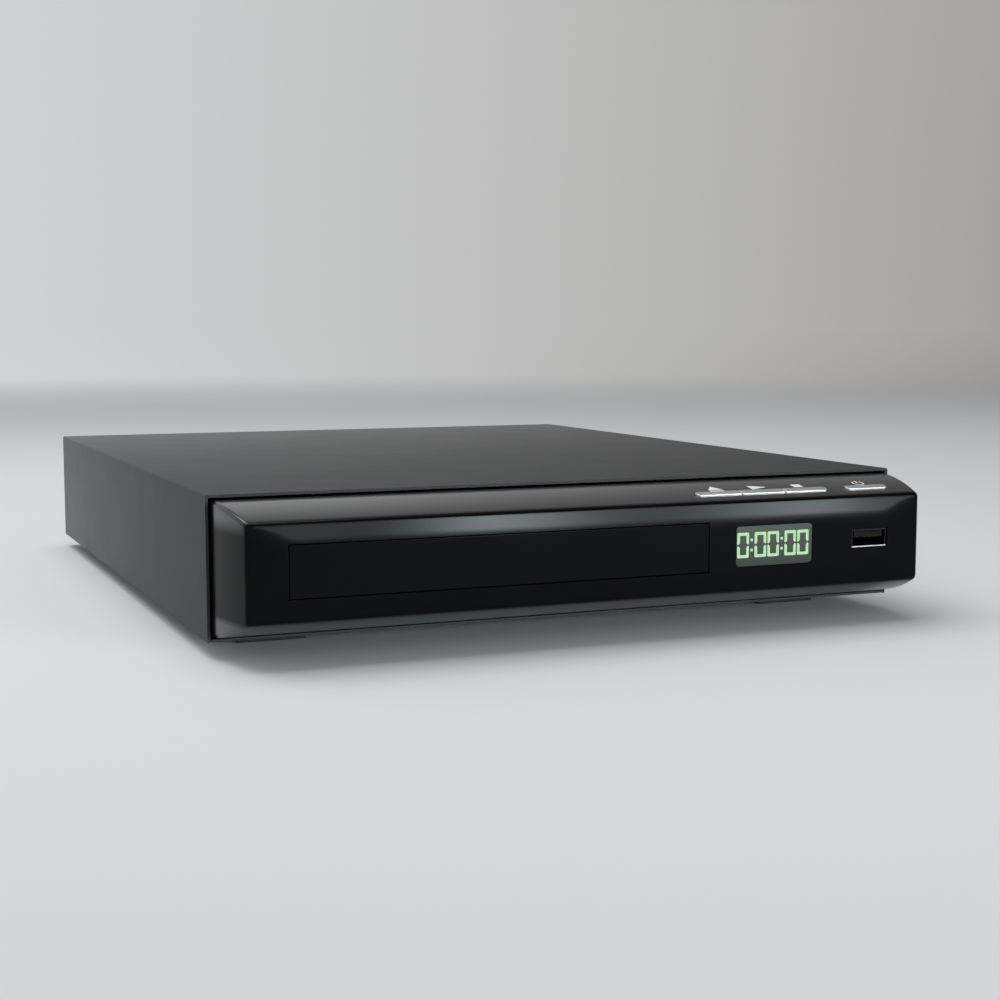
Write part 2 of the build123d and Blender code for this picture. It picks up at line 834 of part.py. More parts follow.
# USB socket: a folded steel shell and four contacts, round a plastic tongue
usb_front = face_y + usb_setback
with BuildPart() as usb_socket:
    shell_x = (usb_middle - usb_width / 2, usb_middle + usb_width / 2)
    shell_z = (usb_z - usb_thickness / 2, usb_z + usb_thickness / 2)
    block(shell_x, (usb_front, usb_front + usb_depth), shell_z)
    hole_x = (shell_x[0] + usb_shell, shell_x[1] - usb_shell)
    hole_z = (shell_z[0] + usb_shell, shell_z[1] - usb_shell)
    hole_y = (usb_front, usb_front + usb_depth - 2 * usb_shell)
    block(hole_x, hole_y, hole_z, Mode.SUBTRACT)
    tongue_high = hole_z[1] - usb_contact_thickness * 2
    tongue_z = (tongue_high - usb_tongue_thickness, tongue_high)
    for number in range(usb_contact_count):
        contact_x = usb_middle + (number - (usb_contact_count - 1) / 2) * usb_contact_pitch
        contact_spans = (contact_x - usb_contact_width / 2, contact_x + usb_contact_width / 2)
        contact_y = (usb_front + usb_contact_setback, hole_y[1] - usb_shell)
        block(contact_spans, contact_y, (tongue_z[0] - usb_contact_thickness, tongue_z[0]))
usb_socket.part.label = "usb_socket"
export_step(usb_socket.part, "parts/usb_socket.step")

with BuildPart() as usb_tongue:
    tongue_x = (usb_middle - usb_tongue_width / 2, usb_middle + usb_tongue_width / 2)
    block(tongue_x, (usb_front + usb_shell, hole_y[1]), tongue_z)
usb_tongue.part.label = "usb_tongue"
export_step(usb_tongue.part, "parts/usb_tongue.step")

# Keys: silver bars in the top bevel, each with a flange that keeps it in its slot
for key_name, (bar_left, bar_right) in zip(("eject", "play", "stop", "power"), bar_spans):
    key_middle = (bar_left + bar_right) / 2
    with BuildPart() as key:
        with BuildSketch(key_plane.offset(flange_bottom)):
            with Locations((key_middle, 0)):
                Rectangle(bar_right - bar_left, bar_depth + 2 * key_flange_margin)
        extrude(amount=key_flange_thickness)
        with BuildSketch(key_plane.offset(flange_top)):
            with Locations((key_middle, 0)):
                Rectangle(bar_right - bar_left, bar_depth)
        extrude(amount=key_flange_drop + bar_height)
    key.part.label = f"{key_name}_button"
    export_step(key.part, f"parts/{key_name}_button.step")

with BuildPart() as button_board:
    with BuildSketch(key_plane.offset(key_board_top)):
        with Locations(
            ((key_board_left + key_board_right) / 2, (key_board_back - key_board_front) / 2)
        ):
            Rectangle(key_board_right - key_board_left, key_board_front + key_board_back)
    extrude(amount=-board_sheet)
button_board.part.label = "button_board"
export_step(button_board.part, "parts/button_board.step")

with BuildPart() as tact_switches:
    key_middles = [((left + right) / 2, 0) for left, right in bar_spans]
    with BuildSketch(key_plane.offset(key_board_top)):
        with Locations(*key_middles):
            Rectangle(switch_side, switch_side)
    extrude(amount=switch_height)
    with BuildSketch(key_plane.offset(switch_top)):
        with Locations(*key_middles):
            Circle(plunger_radius)
    extrude(amount=plunger_height)
tact_switches.part.label = "tact_switches"
export_step(tact_switches.part, "parts/tact_switches.step")

# Disc tray: recess for the disc, a slot for the pickup, side runners and a rack
tray_y = (door_back, door_back + tray_length)
with BuildPart() as disc_tray:
    tray_x = (loader_middle - tray_half_width, loader_middle + tray_half_width)
    block(tray_x, tray_y, (base + tray_low, base + tray_high))
    runner_x = (tray_x[0] - tray_flange, tray_x[1] + tray_flange)
    block(runner_x, tray_y, (base + tray_low, base + tray_low + tray_flange_thickness))
    shelf_y = (spindle_y + disc_radius + 2 * tray_flange, tray_y[1])
    block(runner_x, shelf_y, (base + rear_shelf, base + tray_high), Mode.SUBTRACT)
    recess_top = base + tray_high
    drum(loader_middle, spindle_y, (base + disc_floor, recess_top), disc_radius + disc_gap, Mode.SUBTRACT)
    drum(
        loader_middle,
        spindle_y,
        (base + small_disc_floor, recess_top),
        small_disc_radius + disc_gap,
        Mode.SUBTRACT,
    )
    drum(loader_middle, spindle_y, (base + tray_low, recess_top), slot_half_width, Mode.SUBTRACT)
    slot_x = (loader_middle - slot_half_width, loader_middle + slot_half_width)
    block(slot_x, (spindle_y, tray_y[1]), (base + tray_low, recess_top), Mode.SUBTRACT)
    rack_low = base + tray_low - rack_height
    rack_root = rack_x + tooth_dedendum
    rack_y = (gear_y - rack_spare, gear_y + tray_travel + rack_spare)
    block((rack_root, rack_root + rack_back), rack_y, (rack_low, base + tray_low))
    rack_teeth = int((rack_y[1] - rack_y[0]) / tooth_pitch)
    with BuildSketch(Plane.XY.offset(rack_low)):
        for number in range(rack_teeth):
            rack_tooth_y = gear_y + (number - rack_first_tooth) * tooth_pitch
            with Locations((rack_x, rack_tooth_y)):
                tooth(-1)
    extrude(amount=rack_height)
disc_tray.part.label = "disc_tray"
export_step(disc_tray.part, "parts/disc_tray.step")

# Loader frame: base with a pit for the lift, side walls with runners' ribs, axles and bosses
with BuildPart() as loader_frame:
    frame_x = (loader_middle - frame_half_width, loader_middle + frame_half_width)
    frame_y = (case_front + frame_front, spindle_y + frame_back)
    block(frame_x, frame_y, (frame_low, frame_floor))
    pit_x = (loader_middle - pit_left, loader_middle + pit_right)
    pit_y = (case_front + pit_front, spindle_y + pit_back)
    block(pit_x, pit_y, (frame_low, frame_floor), Mode.SUBTRACT)
    for side in (-1, 1):
        outer_x = loader_middle + side * frame_half_width
        inner_x = loader_middle + side * frame_inner
        rib_x = loader_middle + side * (frame_inner - rib_reach)
        block(sorted((outer_x, inner_x)), frame_y, (frame_low, base + frame_top))
        under_top = base + tray_low - tray_run_gap
        over_low = base + tray_low + tray_flange_thickness + tray_run_gap
        block(sorted((inner_x, rib_x)), frame_y, (under_top - rib_thickness, under_top))
        block(sorted((inner_x, rib_x)), frame_y, (over_low, over_low + rib_thickness))
    rear_wall = (frame_y[1] - frame_wall, frame_y[1])
    block(frame_x, rear_wall, (frame_floor, base + frame_rear_wall_top))
    drum(gear_x, gear_y, (frame_floor, base + wheel_bottom - seat_gap), 2 * axle_radius)
    drum(gear_x, gear_y, (frame_floor, base + pinion_bottom + pinion_thickness), axle_radius)
    drum(gear_x, pulley_y, (frame_floor, base + pulley_bottom - seat_gap), 2 * axle_radius)
    drum(gear_x, pulley_y, (frame_floor, base + wheel_bottom + wheel_thickness), axle_radius)
    motor_hole = motor_radius + cutout_gap
    drum(gear_x, motor_y, (frame_low, frame_floor), motor_hole, Mode.SUBTRACT)
    for side in (-1, 1):
        boss_inner = side * (lift_half_width + 2 * seat_gap)
        boss_outer = boss_inner + side * pivot_boss_width
        boss_x = sorted((loader_middle + boss_inner, loader_middle + boss_outer))
        boss_y = (pivot_y - pivot_boss_side / 2, pivot_y + pivot_boss_side / 2)
        block(boss_x, boss_y, (frame_low, pivot_z + pivot_boss_side / 2))
        if side < 0:
            block((pit_x[0], boss_x[1]), boss_y, (frame_low, frame_floor))
        boss_middle = (boss_x[0] + boss_x[1]) / 2
        with Locations(Location((boss_middle, pivot_y, pivot_z), (0, 90, 0))):
            Cylinder(pivot_radius + shaft_clearance, pivot_boss_width, mode=Mode.SUBTRACT)
    cam_y = (case_front + cam_front, case_front + cam_front + cam_thickness)
    fence_x = (loader_middle - cam_left - cam_travel, loader_middle + cam_right)
    for fence_y in (
        (cam_y[0] - seat_gap - fence_thickness, cam_y[0] - seat_gap),
        (cam_y[1] + seat_gap, cam_y[1] + seat_gap + fence_thickness),
    ):
        block(fence_x, fence_y, (frame_floor, base + fence_high))
loader_frame.part.label = "loader_frame"
export_step(loader_frame.part, "parts/loader_frame.step")

# Train that drives the tray: motor, belt, pulley gear and drive gear
with BuildPart() as drive_gear:
    with BuildSketch(Plane.XY.offset(base + wheel_bottom)):
        with Locations((gear_x, gear_y)):
            gear_outline(drive_wheel_teeth)
    extrude(amount=wheel_thickness)
    wheel_top = base + wheel_bottom + wheel_thickness
    with BuildSketch(Plane.XY.offset(wheel_top)):
        with Locations((gear_x, gear_y)):
            gear_outline(drive_pinion_teeth)
    extrude(amount=base + pinion_bottom + pinion_thickness - wheel_top)
    gear_span = (base + wheel_bottom, base + pinion_bottom + pinion_thickness)
    drum(gear_x, gear_y, gear_span, axle_radius + shaft_clearance, Mode.SUBTRACT)
drive_gear.part.label = "drive_gear"
export_step(drive_gear.part, "parts/drive_gear.step")

pulley_low = base + pulley_bottom
pulley_high = pulley_low + pulley_thickness
belt_middle = (pulley_low + pulley_high) / 2
groove_radius = pulley_radius - belt_sink
belt_room = belt_side / 2 + belt_gap
with BuildPart() as pulley_gear:
    drum(gear_x, pulley_y, (pulley_low, pulley_high), pulley_radius)
    groove_span = (belt_middle - belt_room, belt_middle + belt_room)
    with BuildSketch(Plane.XY.offset(groove_span[0])):
        with Locations((gear_x, pulley_y)):
            Circle(pulley_radius)
            Circle(groove_radius, mode=Mode.SUBTRACT)
    extrude(amount=2 * belt_room, mode=Mode.SUBTRACT)
    with BuildSketch(Plane.XY.offset(pulley_high)):
        with Locations((gear_x, pulley_y)):
            Circle(pulley_pinion_radius - tooth_dedendum)
    extrude(amount=base + wheel_bottom - pulley_high)
    with BuildSketch(Plane.XY.offset(base + wheel_bottom)):
        with Locations((gear_x, pulley_y)):
            gear_outline(pulley_pinion_teeth, 180 / pulley_pinion_teeth)
    extrude(amount=wheel_thickness)
    pulley_span = (pulley_low, base + wheel_bottom + wheel_thickness)
    drum(gear_x, pulley_y, pulley_span, axle_radius + shaft_clearance, Mode.SUBTRACT)
pulley_gear.part.label = "pulley_gear"
export_step(pulley_gear.part, "parts/pulley_gear.step")

motor_top = base + motor_bottom + motor_height
with BuildPart() as loading_motor:
    drum(gear_x, motor_y, (base + motor_bottom, motor_top), motor_radius)
    drum(gear_x, motor_y, (motor_top, pulley_high), motor_shaft_radius)
loading_motor.part.label = "loading_motor"
export_step(loading_motor.part, "parts/loading_motor.step")

motor_groove = motor_pulley_radius - belt_sink
with BuildPart() as motor_pulley:
    drum(gear_x, motor_y, (pulley_low, pulley_high), motor_pulley_radius)
    with BuildSketch(Plane.XY.offset(groove_span[0])):
        with Locations((gear_x, motor_y)):
            Circle(motor_pulley_radius)
            Circle(motor_groove, mode=Mode.SUBTRACT)
    extrude(amount=2 * belt_room, mode=Mode.SUBTRACT)
    motor_bore = motor_shaft_radius + shaft_clearance
    drum(gear_x, motor_y, (pulley_low, pulley_high), motor_bore, Mode.SUBTRACT)
motor_pulley.part.label = "motor_pulley"
export_step(motor_pulley.part, "parts/motor_pulley.step")

belt_inner = groove_radius + belt_gap
belt_motor = motor_groove + belt_gap
with BuildPart() as drive_belt:
    with BuildSketch(Plane.XY.offset(belt_middle - belt_side / 2)):
        with Locations((gear_x, pulley_y)):
            Circle(belt_inner + belt_side)
        with Locations((gear_x, motor_y)):
            Circle(belt_motor + belt_side)
        make_hull()
        with BuildSketch(mode=Mode.PRIVATE) as belt_room_inside:
            with Locations((gear_x, pulley_y)):
                Circle(belt_inner)
            with Locations((gear_x, motor_y)):
                Circle(belt_motor)
            make_hull()
        add(belt_room_inside.sketch, mode=Mode.SUBTRACT)
    extrude(amount=belt_side)
drive_belt.part.label = "drive_belt"
export_step(drive_belt.part, "parts/drive_belt.step")

# Cam slider: two sloping slots lower the lift's pins as the tray comes out
lift_drop = (pivot_y - (cam_y[0] + cam_y[1]) / 2) * math.sin(math.radians(lift_drop_angle))
cam_pin_z = base + lift_pin_height
with BuildPart() as cam_slider:
    cam_x = (loader_middle - cam_left, loader_middle + cam_right)
    block(cam_x, cam_y, (base + cam_low, base + cam_high))
    cam_angle = math.degrees(math.atan(lift_drop / cam_travel))
    cam_length = math.hypot(lift_drop, cam_travel)
    for pin_place in lift_pin_places:
        slot_middle = (
            loader_middle + pin_place + cam_travel / 2,
            (cam_y[0] + cam_y[1]) / 2,
            cam_pin_z - lift_drop / 2,
        )
        with BuildSketch(Plane.XZ.offset(-cam_y[1])):
            with Locations(Location((slot_middle[0], slot_middle[2], 0), (0, 0, -cam_angle))):
                SlotCenterToCenter(cam_length, 2 * (lift_pin_radius + cam_clearance))
        extrude(amount=cam_thickness, mode=Mode.SUBTRACT)
cam_slider.part.label = "cam_slider"
export_step(cam_slider.part, "parts/cam_slider.step")

# Lift frame: a ring on two rear pivots, with pins at the front for the cam slider
with BuildPart() as lift_frame:
    lift_x = (loader_middle - lift_half_width, loader_middle + lift_half_width)
    lift_y = (case_front + lift_front, spindle_y + lift_back)
    lift_z = (base + lift_low, base + lift_high)
    block(lift_x, lift_y, lift_z)
    ring_x = (lift_x[0] + lift_rail, lift_x[1] - lift_rail)
    block(ring_x, (lift_y[0] + lift_rail, lift_y[1] - lift_rear_rail), lift_z, Mode.SUBTRACT)
    tab_low = loader_middle + lift_pin_places[0] - 2 * lift_pin_radius
    tab_high = loader_middle + lift_pin_places[1] + 2 * lift_pin_radius
    block((tab_low, tab_high), (lift_y[0], lift_y[0] + lift_rail / 2), (lift_z[0], base + lift_tab_high))
    for pin_place in lift_pin_places:
        lying_drum(loader_middle + pin_place, (cam_y[0], lift_y[0]), cam_pin_z, lift_pin_radius)
    pivot_half = lift_half_width + pivot_reach
    with Locations(Location((loader_middle, pivot_y, pivot_z), (0, 90, 0))):
        Cylinder(pivot_radius, 2 * pivot_half)
lift_frame.part.label = "lift_frame"
export_step(lift_frame.part, "parts/lift_frame.step")

damper_places = [
    (loader_middle + side * (lift_half_width - damper_inset), damper_y)
    for side in (-1, 1)
    for damper_y in (case_front + deck_front + damper_front, spindle_y + damper_back)
]
with BuildPart() as rubber_dampers:
    for damper_x, damper_y in damper_places:
        drum(damper_x, damper_y, (lift_z[1], deck_low), damper_radius)
rubber_dampers.part.label = "rubber_dampers"
export_step(rubber_dampers.part, "parts/rubber_dampers.step")

# Drive deck: a steel plate with the pickup's window, rod blocks and an axle
with BuildPart() as drive_deck:
    deck_x = (loader_middle - deck_half_width, loader_middle + deck_half_width)
    deck_y = (case_front + deck_front, spindle_y + deck_back)
    block(deck_x, deck_y, (deck_low, deck_high))
    wing_y = (sled_gear_y - deck_wing_half, sled_gear_y + deck_wing_half)
    block((deck_wing_left, deck_x[0]), wing_y, (deck_low, deck_high))
    opening_half = sled_half_width + 2 * seat_gap
    opening_x = (loader_middle - opening_half, loader_middle + opening_half)
    opening_y = (spindle_y + deck_window_front, spindle_y + deck_window_back)
    block(opening_x, opening_y, (deck_low, deck_high), Mode.SUBTRACT)
    rod_ends = (
        (spindle_y + rod_front, spindle_y + rod_front + rod_block_length),
        (spindle_y + rod_back - rod_block_length, spindle_y + rod_back),
    )
    for side in (-1, 1):
        rod_x = loader_middle + side * rod_spread
        for rod_end in rod_ends:
            rod_block = (rod_x - rod_block_side / 2, rod_x + rod_block_side / 2)
            block(rod_block, rod_end, (deck_high, base + sled_high))
            lying_drum(rod_x, rod_end, rod_z, rod_radius + rod_clearance, Mode.SUBTRACT)
    axle_top = base + sled_gear_bottom + sled_gear_thickness
    drum(sled_gear_x, sled_gear_y, (deck_high, axle_top), sled_axle_radius)
    pinion_hole = sled_axle_radius * 2
    drum(sled_pinion_x, sled_gear_y, (deck_low, deck_high), pinion_hole, Mode.SUBTRACT)
drive_deck.part.label = "drive_deck"
export_step(drive_deck.part, "parts/drive_deck.step")

with BuildPart() as guide_rods:
    for side in (-1, 1):
        rod_span = (spindle_y + rod_front, spindle_y + rod_back)
        lying_drum(loader_middle + side * rod_spread, rod_span, rod_z, rod_radius)
guide_rods.part.label = "guide_rods"
export_step(guide_rods.part, "parts/guide_rods.step")

with BuildPart() as spindle_motor:
    drum(loader_middle, spindle_y, (deck_high, spindle_motor_top), spindle_motor_radius)
    motor_bore = spindle_shaft_radius + shaft_clearance
    drum(loader_middle, spindle_y, (deck_high, spindle_motor_top), motor_bore, Mode.SUBTRACT)
spindle_motor.part.label = "spindle_motor"
export_step(spindle_motor.part, "parts/spindle_motor.step")

with BuildPart() as turntable:
    drum(loader_middle, spindle_y, (turntable_low, turntable_top), turntable_radius)
    with Locations((loader_middle, spindle_y, turntable_top + hub_height / 2)):
        Cone(hub_radius, hub_top_radius, hub_height)
    drum(loader_middle, spindle_y, (deck_high, turntable_low), spindle_shaft_radius)
turntable.part.label = "turntable"
export_step(turntable.part, "parts/turntable.step")

# Pickup: a sled on two rods with a rack at its left, and the lens above it
with BuildPart() as pickup_sled:
    sled_x = (loader_middle - sled_half_width, loader_middle + sled_half_width)
    sled_y = (spindle_y + sled_front, spindle_y + sled_back)
    sled_z = (base + sled_low, base + sled_high)
    block(sled_x, sled_y, sled_z)
    for side in (-1, 1):
        rod_bore = rod_radius + shaft_clearance
        lying_drum(loader_middle + side * rod_spread, sled_y, rod_z, rod_bore, Mode.SUBTRACT)
    sled_rack_y = (sled_gear_y - sled_travel - sled_rack_spare, sled_gear_y + sled_rack_spare)
    rack_z = (base + sled_gear_bottom, base + sled_gear_bottom + sled_gear_thickness)
    sled_rack_root = sled_rack_x + tooth_dedendum
    block((sled_rack_root, sled_x[0] + seat_gap), sled_rack_y, rack_z)
    sled_teeth = int((sled_rack_y[1] - sled_rack_y[0]) / tooth_pitch)
    with BuildSketch(Plane.XY.offset(rack_z[0])):
        for number in range(sled_teeth):
            sled_tooth_y = sled_gear_y - (number - sled_first_tooth) * tooth_pitch
            with Locations((sled_rack_x, sled_tooth_y)):
                tooth(-1)
    extrude(amount=sled_gear_thickness)
pickup_sled.part.label = "pickup_sled"
export_step(pickup_sled.part, "parts/pickup_sled.step")

lens_y = spindle_y + lens_place
lens_low = base + sled_high + seat_gap
with BuildPart() as pickup_lens:
    lens_half = lens_holder_side / 2
    lens_top = lens_low + lens_holder_height
    lens_x = (loader_middle - lens_half, loader_middle + lens_half)
    block(lens_x, (lens_y - lens_half, lens_y + lens_half), (lens_low, lens_top))
    drum(loader_middle, lens_y, (lens_top, lens_top + lens_rise), lens_radius)
    fillet(pickup_lens.edges().sort_by(Axis.Z)[-1], radius=lens_bevel)
pickup_lens.part.label = "pickup_lens"
export_step(pickup_lens.part, "parts/pickup_lens.step")

sled_gear_low = base + sled_gear_bottom
sled_gear_high = sled_gear_low + sled_gear_thickness
with BuildPart() as sled_gear:
    with BuildSketch(Plane.XY.offset(sled_gear_low)):
        with Locations((sled_gear_x, sled_gear_y)):
            gear_outline(sled_gear_teeth)
    extrude(amount=sled_gear_thickness)
    sled_bore = sled_axle_radius + shaft_clearance
    drum(sled_gear_x, sled_gear_y, (sled_gear_low, sled_gear_high), sled_bore, Mode.SUBTRACT)
sled_gear.part.label = "sled_gear"
export_step(sled_gear.part, "parts/sled_gear.step")

with BuildPart() as sled_pinion:
    with BuildSketch(Plane.XY.offset(sled_gear_low)):
        with Locations((sled_pinion_x, sled_gear_y)):
            gear_outline(sled_gear_teeth, 180 / sled_gear_teeth)
    extrude(amount=sled_gear_thickness)
    drum(sled_pinion_x, sled_gear_y, (sled_gear_low, sled_gear_high), sled_bore, Mode.SUBTRACT)
sled_pinion.part.label = "sled_pinion"
export_step(sled_pinion.part, "parts/sled_pinion.step")

with BuildPart() as sled_motor:
    drum(sled_pinion_x, sled_gear_y, (deck_low - sled_motor_height, deck_low), sled_motor_radius)
    drum(sled_pinion_x, sled_gear_y, (deck_low, sled_gear_high), sled_axle_radius)
sled_motor.part.label = "sled_motor"
export_step(sled_motor.part, "parts/sled_motor.step")

# Clamp: a bridge over the tray with a magnetic clamper hung in it
with BuildPart() as clamp_bridge:
    bridge_y = (spindle_y - bridge_half_depth, spindle_y + bridge_half_depth)
    block(frame_x, bridge_y, (bridge_low, bridge_top))
    drum(loader_middle, spindle_y, (bridge_low, bridge_top), bridge_hole_radius, Mode.SUBTRACT)
clamp_bridge.part.label = "clamp_bridge"
export_step(clamp_bridge.part, "parts/clamp_bridge.step")

with BuildPart() as clamper:
    drum(loader_middle, spindle_y, (clamper_low, clamper_high), clamper_radius)
    drum(loader_middle, spindle_y, (clamper_high, cap_low), clamper_neck_radius)
    drum(loader_middle, spindle_y, (cap_low, cap_top), clamper_cap_radius)
    pocket_span = (clamper_low, clamper_low + hub_pocket_depth)
    drum(loader_middle, spindle_y, pocket_span, hub_pocket_radius, Mode.SUBTRACT)
    magnet_span = (cap_top - magnet_height, cap_top)
    drum(loader_middle, spindle_y, magnet_span, magnet_radius + magnet_gap, Mode.SUBTRACT)
    drum(loader_middle, spindle_y, (magnet_span[0] + magnet_gap, magnet_span[1]), magnet_radius)
clamper.part.label = "clamper"
export_step(clamper.part, "parts/clamper.step")


# Boards on standoffs, with their screws
def board_corners(left, right, front, back):
    """Gives the four screw places of a board."""
    return [
        (corner_x, corner_y)
        for corner_x in (left + board_hole_inset, right - board_hole_inset)
        for corner_y in (front + board_hole_inset, back - board_hole_inset)
    ]


main_corners = board_corners(main_board_left, main_board_right, main_board_front, main_board_back)
power_corners = board_corners(power_board_left, power_board_right, power_board_low, power_board_back)
with BuildPart() as main_board:
    main_x = (main_board_left, main_board_right)
    main_y = (main_board_front, main_board_back)
    block(main_x, main_y, (board_low, board_high))
    for corner_x, corner_y in main_corners:
        drum(corner_x, corner_y, (board_low, board_high), board_hole_radius, Mode.SUBTRACT)
main_board.part.label = "main_board"
export_step(main_board.part, "parts/main_board.step")

with BuildPart() as power_board:
    power_x = (power_board_left, power_board_right)
    power_y = (power_board_low, power_board_back)
    block(power_x, power_y, (board_low, board_high))
    for corner_x, corner_y in power_corners:
        drum(corner_x, corner_y, (board_low, board_high), board_hole_radius, Mode.SUBTRACT)
power_board.part.label = "power_board"
export_step(power_board.part, "parts/power_board.step")

with BuildPart() as standoffs:
    for corner_x, corner_y in main_corners + power_corners:
        drum(corner_x, corner_y, (pan_top, board_low), standoff_radius)
        drum(corner_x, corner_y, (pan_top, board_low), standoff_bore, Mode.SUBTRACT)
    for side in (-1, 1):
        post_x = loader_middle + side * (frame_half_width - loader_post_inset)
        for post_y in (frame_y[0] + loader_post_inset, frame_y[1] - loader_post_inset):
            drum(post_x, post_y, (pan_top, frame_low), standoff_radius)
standoffs.part.label = "standoffs"
export_step(standoffs.part, "parts/standoffs.step")

with BuildPart() as board_screws:
    for corner_x, corner_y in main_corners + power_corners:
        drum(corner_x, corner_y, (board_high, board_high + screw_head_height), screw_head_radius)
        drum(corner_x, corner_y, (board_high - screw_length, board_high), screw_shank_radius)
board_screws.part.label = "board_screws"
export_step(board_screws.part, "parts/board_screws.step")

# What the main board carries
chip_x = frame_right - chip_inset
jack_body_y = (rear_inner - jack_body_depth, rear_inner)
chip_y = main_y[0] + chip_share * (jack_body_y[0] - main_y[0] - chip_side)
with BuildPart() as board_components:
    chip_z = (board_high, board_high + chip_height)
    block((chip_x, chip_x + chip_side), (chip_y, chip_y + chip_side), chip_z)
    for number in range(memory_count):
        memory_x = chip_x + (number - 1) * memory_pitch
        memory_y = chip_y - memory_setback
        block((memory_x, memory_x + memory_width), (memory_y, memory_y + memory_depth), chip_z)
    for number in range(can_count):
        can_x = frame_right - can_inset - number * can_pitch
        drum(can_x, main_y[0] + can_setback, (board_high, board_high + can_height), can_radius)
board_components.part.label = "board_components"
export_step(board_components.part, "parts/board_components.step")

with BuildPart() as heat_sink:
    sink_low = board_high + chip_height
    sink_y = (chip_y, chip_y + chip_side)
    block((chip_x, chip_x + chip_side), sink_y, (sink_low, sink_low + sink_base))
    fin_pitch = (chip_side - fin_sheet) / (fin_count - 1)
    for number in range(fin_count):
        fin_x = chip_x + number * fin_pitch
        block((fin_x, fin_x + fin_sheet), sink_y, (sink_low + sink_base, sink_low + sink_height))
heat_sink.part.label = "heat_sink"
export_step(heat_sink.part, "parts/heat_sink.step")

# Ribbon cable from the main board along the pan to the front board
ribbon_x = frame_right + ribbon_gap
ribbon_plug_y = main_y[0] + ribbon_plug_setback
front_plug_z = base + front_board_low + front_plug_lift
with BuildPart() as ribbon_cable:
    plug_x = (ribbon_x, ribbon_x + ribbon_width)
    block(plug_x, (ribbon_plug_y, ribbon_plug_y + plug_depth), (board_high, board_high + plug_height))
    front_plug_y = (board_face + board_sheet, board_face + board_sheet + plug_depth)
    block(plug_x, front_plug_y, (front_plug_z, front_plug_z + plug_height))
    with BuildSketch(Plane.YZ.offset(ribbon_x)):
        ribbon_z = base + ribbon_level
        ribbon_rise = main_y[0] - 2 * ribbon_bend
        ribbon_top = board_high + plug_height / 2
        ribbon_front = front_plug_y[1] + 2 * ribbon_bend
        with BuildLine():
            FilletPolyline(
                (ribbon_plug_y, ribbon_top),
                (ribbon_rise, ribbon_top),
                (ribbon_rise, ribbon_z),
                (ribbon_front, ribbon_z),
                (ribbon_front, front_plug_z + plug_height / 2),
                (front_plug_y[1], front_plug_z + plug_height / 2),
                radius=ribbon_bend,
            )
        trace(line_width=ribbon_sheet)
    extrude(amount=ribbon_width)
ribbon_cable.part.label = "ribbon_cable"
export_step(ribbon_cable.part, "parts/ribbon_cable.step")

# Power supply: transformer, reservoir capacitors and the inlet
core_x = power_board_left + core_place
core_y = power_y[0] + core_setback
with BuildPart() as transformer:
    core_z = (board_high, board_high + core_height)
    block((core_x, core_x + core_width), (core_y, core_y + core_depth), core_z)
    winding_x = (core_x + winding_margin * 2, core_x + core_width - winding_margin * 2)
    winding_z = (core_z[0] + winding_margin, core_z[1] - winding_margin)
    block(winding_x, (core_y, core_y + core_depth), winding_z, Mode.SUBTRACT)
    coil_x = (winding_x[0] + winding_gap, winding_x[1] - winding_gap)
    coil_y = (core_y - winding_margin, core_y + core_depth + winding_margin)
    block(coil_x, coil_y, (winding_z[0] + winding_gap, winding_z[1] - winding_gap))
transformer.part.label = "transformer"
export_step(transformer.part, "parts/transformer.step")

with BuildPart() as power_capacitors:
    reservoir_low = core_y + core_depth + reservoir_gap
    reservoir_y = (reservoir_low, reservoir_low + reservoir_length)
    reservoir_x = power_board_left + reservoir_place
    lying_drum(reservoir_x, reservoir_y, board_high + reservoir_radius, reservoir_radius)
    for number in range(output_can_count):
        can_x = power_board_left + output_can_place + number * output_can_pitch
        can_y = power_y[0] + output_can_setback
        drum(can_x, can_y, (board_high, board_high + output_can_height), output_can_radius)
power_capacitors.part.label = "power_capacitors"
export_step(power_capacitors.part, "parts/power_capacitors.step")

inlet_x = (inlet_middle - inlet_width / 2, inlet_middle + inlet_width / 2)
inlet_mouth_y = (case_back + inlet_lip - inlet_mouth_depth, case_back + inlet_lip)
with BuildPart() as power_inlet:
    inlet_y = (case_back - inlet_depth, case_back + inlet_lip)
    inlet_spans_z = (inlet_z - inlet_height / 2, inlet_z + inlet_height / 2)
    block(inlet_x, inlet_y, inlet_spans_z)
    lip_x = (inlet_x[0] - inlet_lip_margin, inlet_x[1] + inlet_lip_margin)
    lip_z = (inlet_spans_z[0] - inlet_lip_margin, inlet_spans_z[1] + inlet_lip_margin)
    block(lip_x, (rear_outer, inlet_y[1]), lip_z)
    with BuildSketch(Plane.XZ.offset(-inlet_mouth_y[0])):
        with Locations((inlet_middle, inlet_z)):
            SlotOverall(inlet_mouth_width, inlet_mouth_height)
    extrude(amount=-inlet_mouth_depth, mode=Mode.SUBTRACT)
    for side in (-1, 1):
        pin_x = inlet_middle + side * inlet_pin_pitch / 2
        pin_root = (inlet_mouth_y[0] - inlet_lip, inlet_mouth_y[0])
        lying_drum(pin_x, pin_root, inlet_z, inlet_pin_radius + magnet_gap, Mode.SUBTRACT)
power_inlet.part.label = "power_inlet"
export_step(power_inlet.part, "parts/power_inlet.step")

with BuildPart() as inlet_pins:
    for side in (-1, 1):
        pin_x = inlet_middle + side * inlet_pin_pitch / 2
        pin_y = (inlet_mouth_y[0] - inlet_lip, inlet_mouth_y[0] + inlet_pin_length)
        lying_drum(pin_x, pin_y, inlet_z, inlet_pin_radius)
inlet_pins.part.label = "inlet_pins"
export_step(inlet_pins.part, "parts/inlet_pins.step")

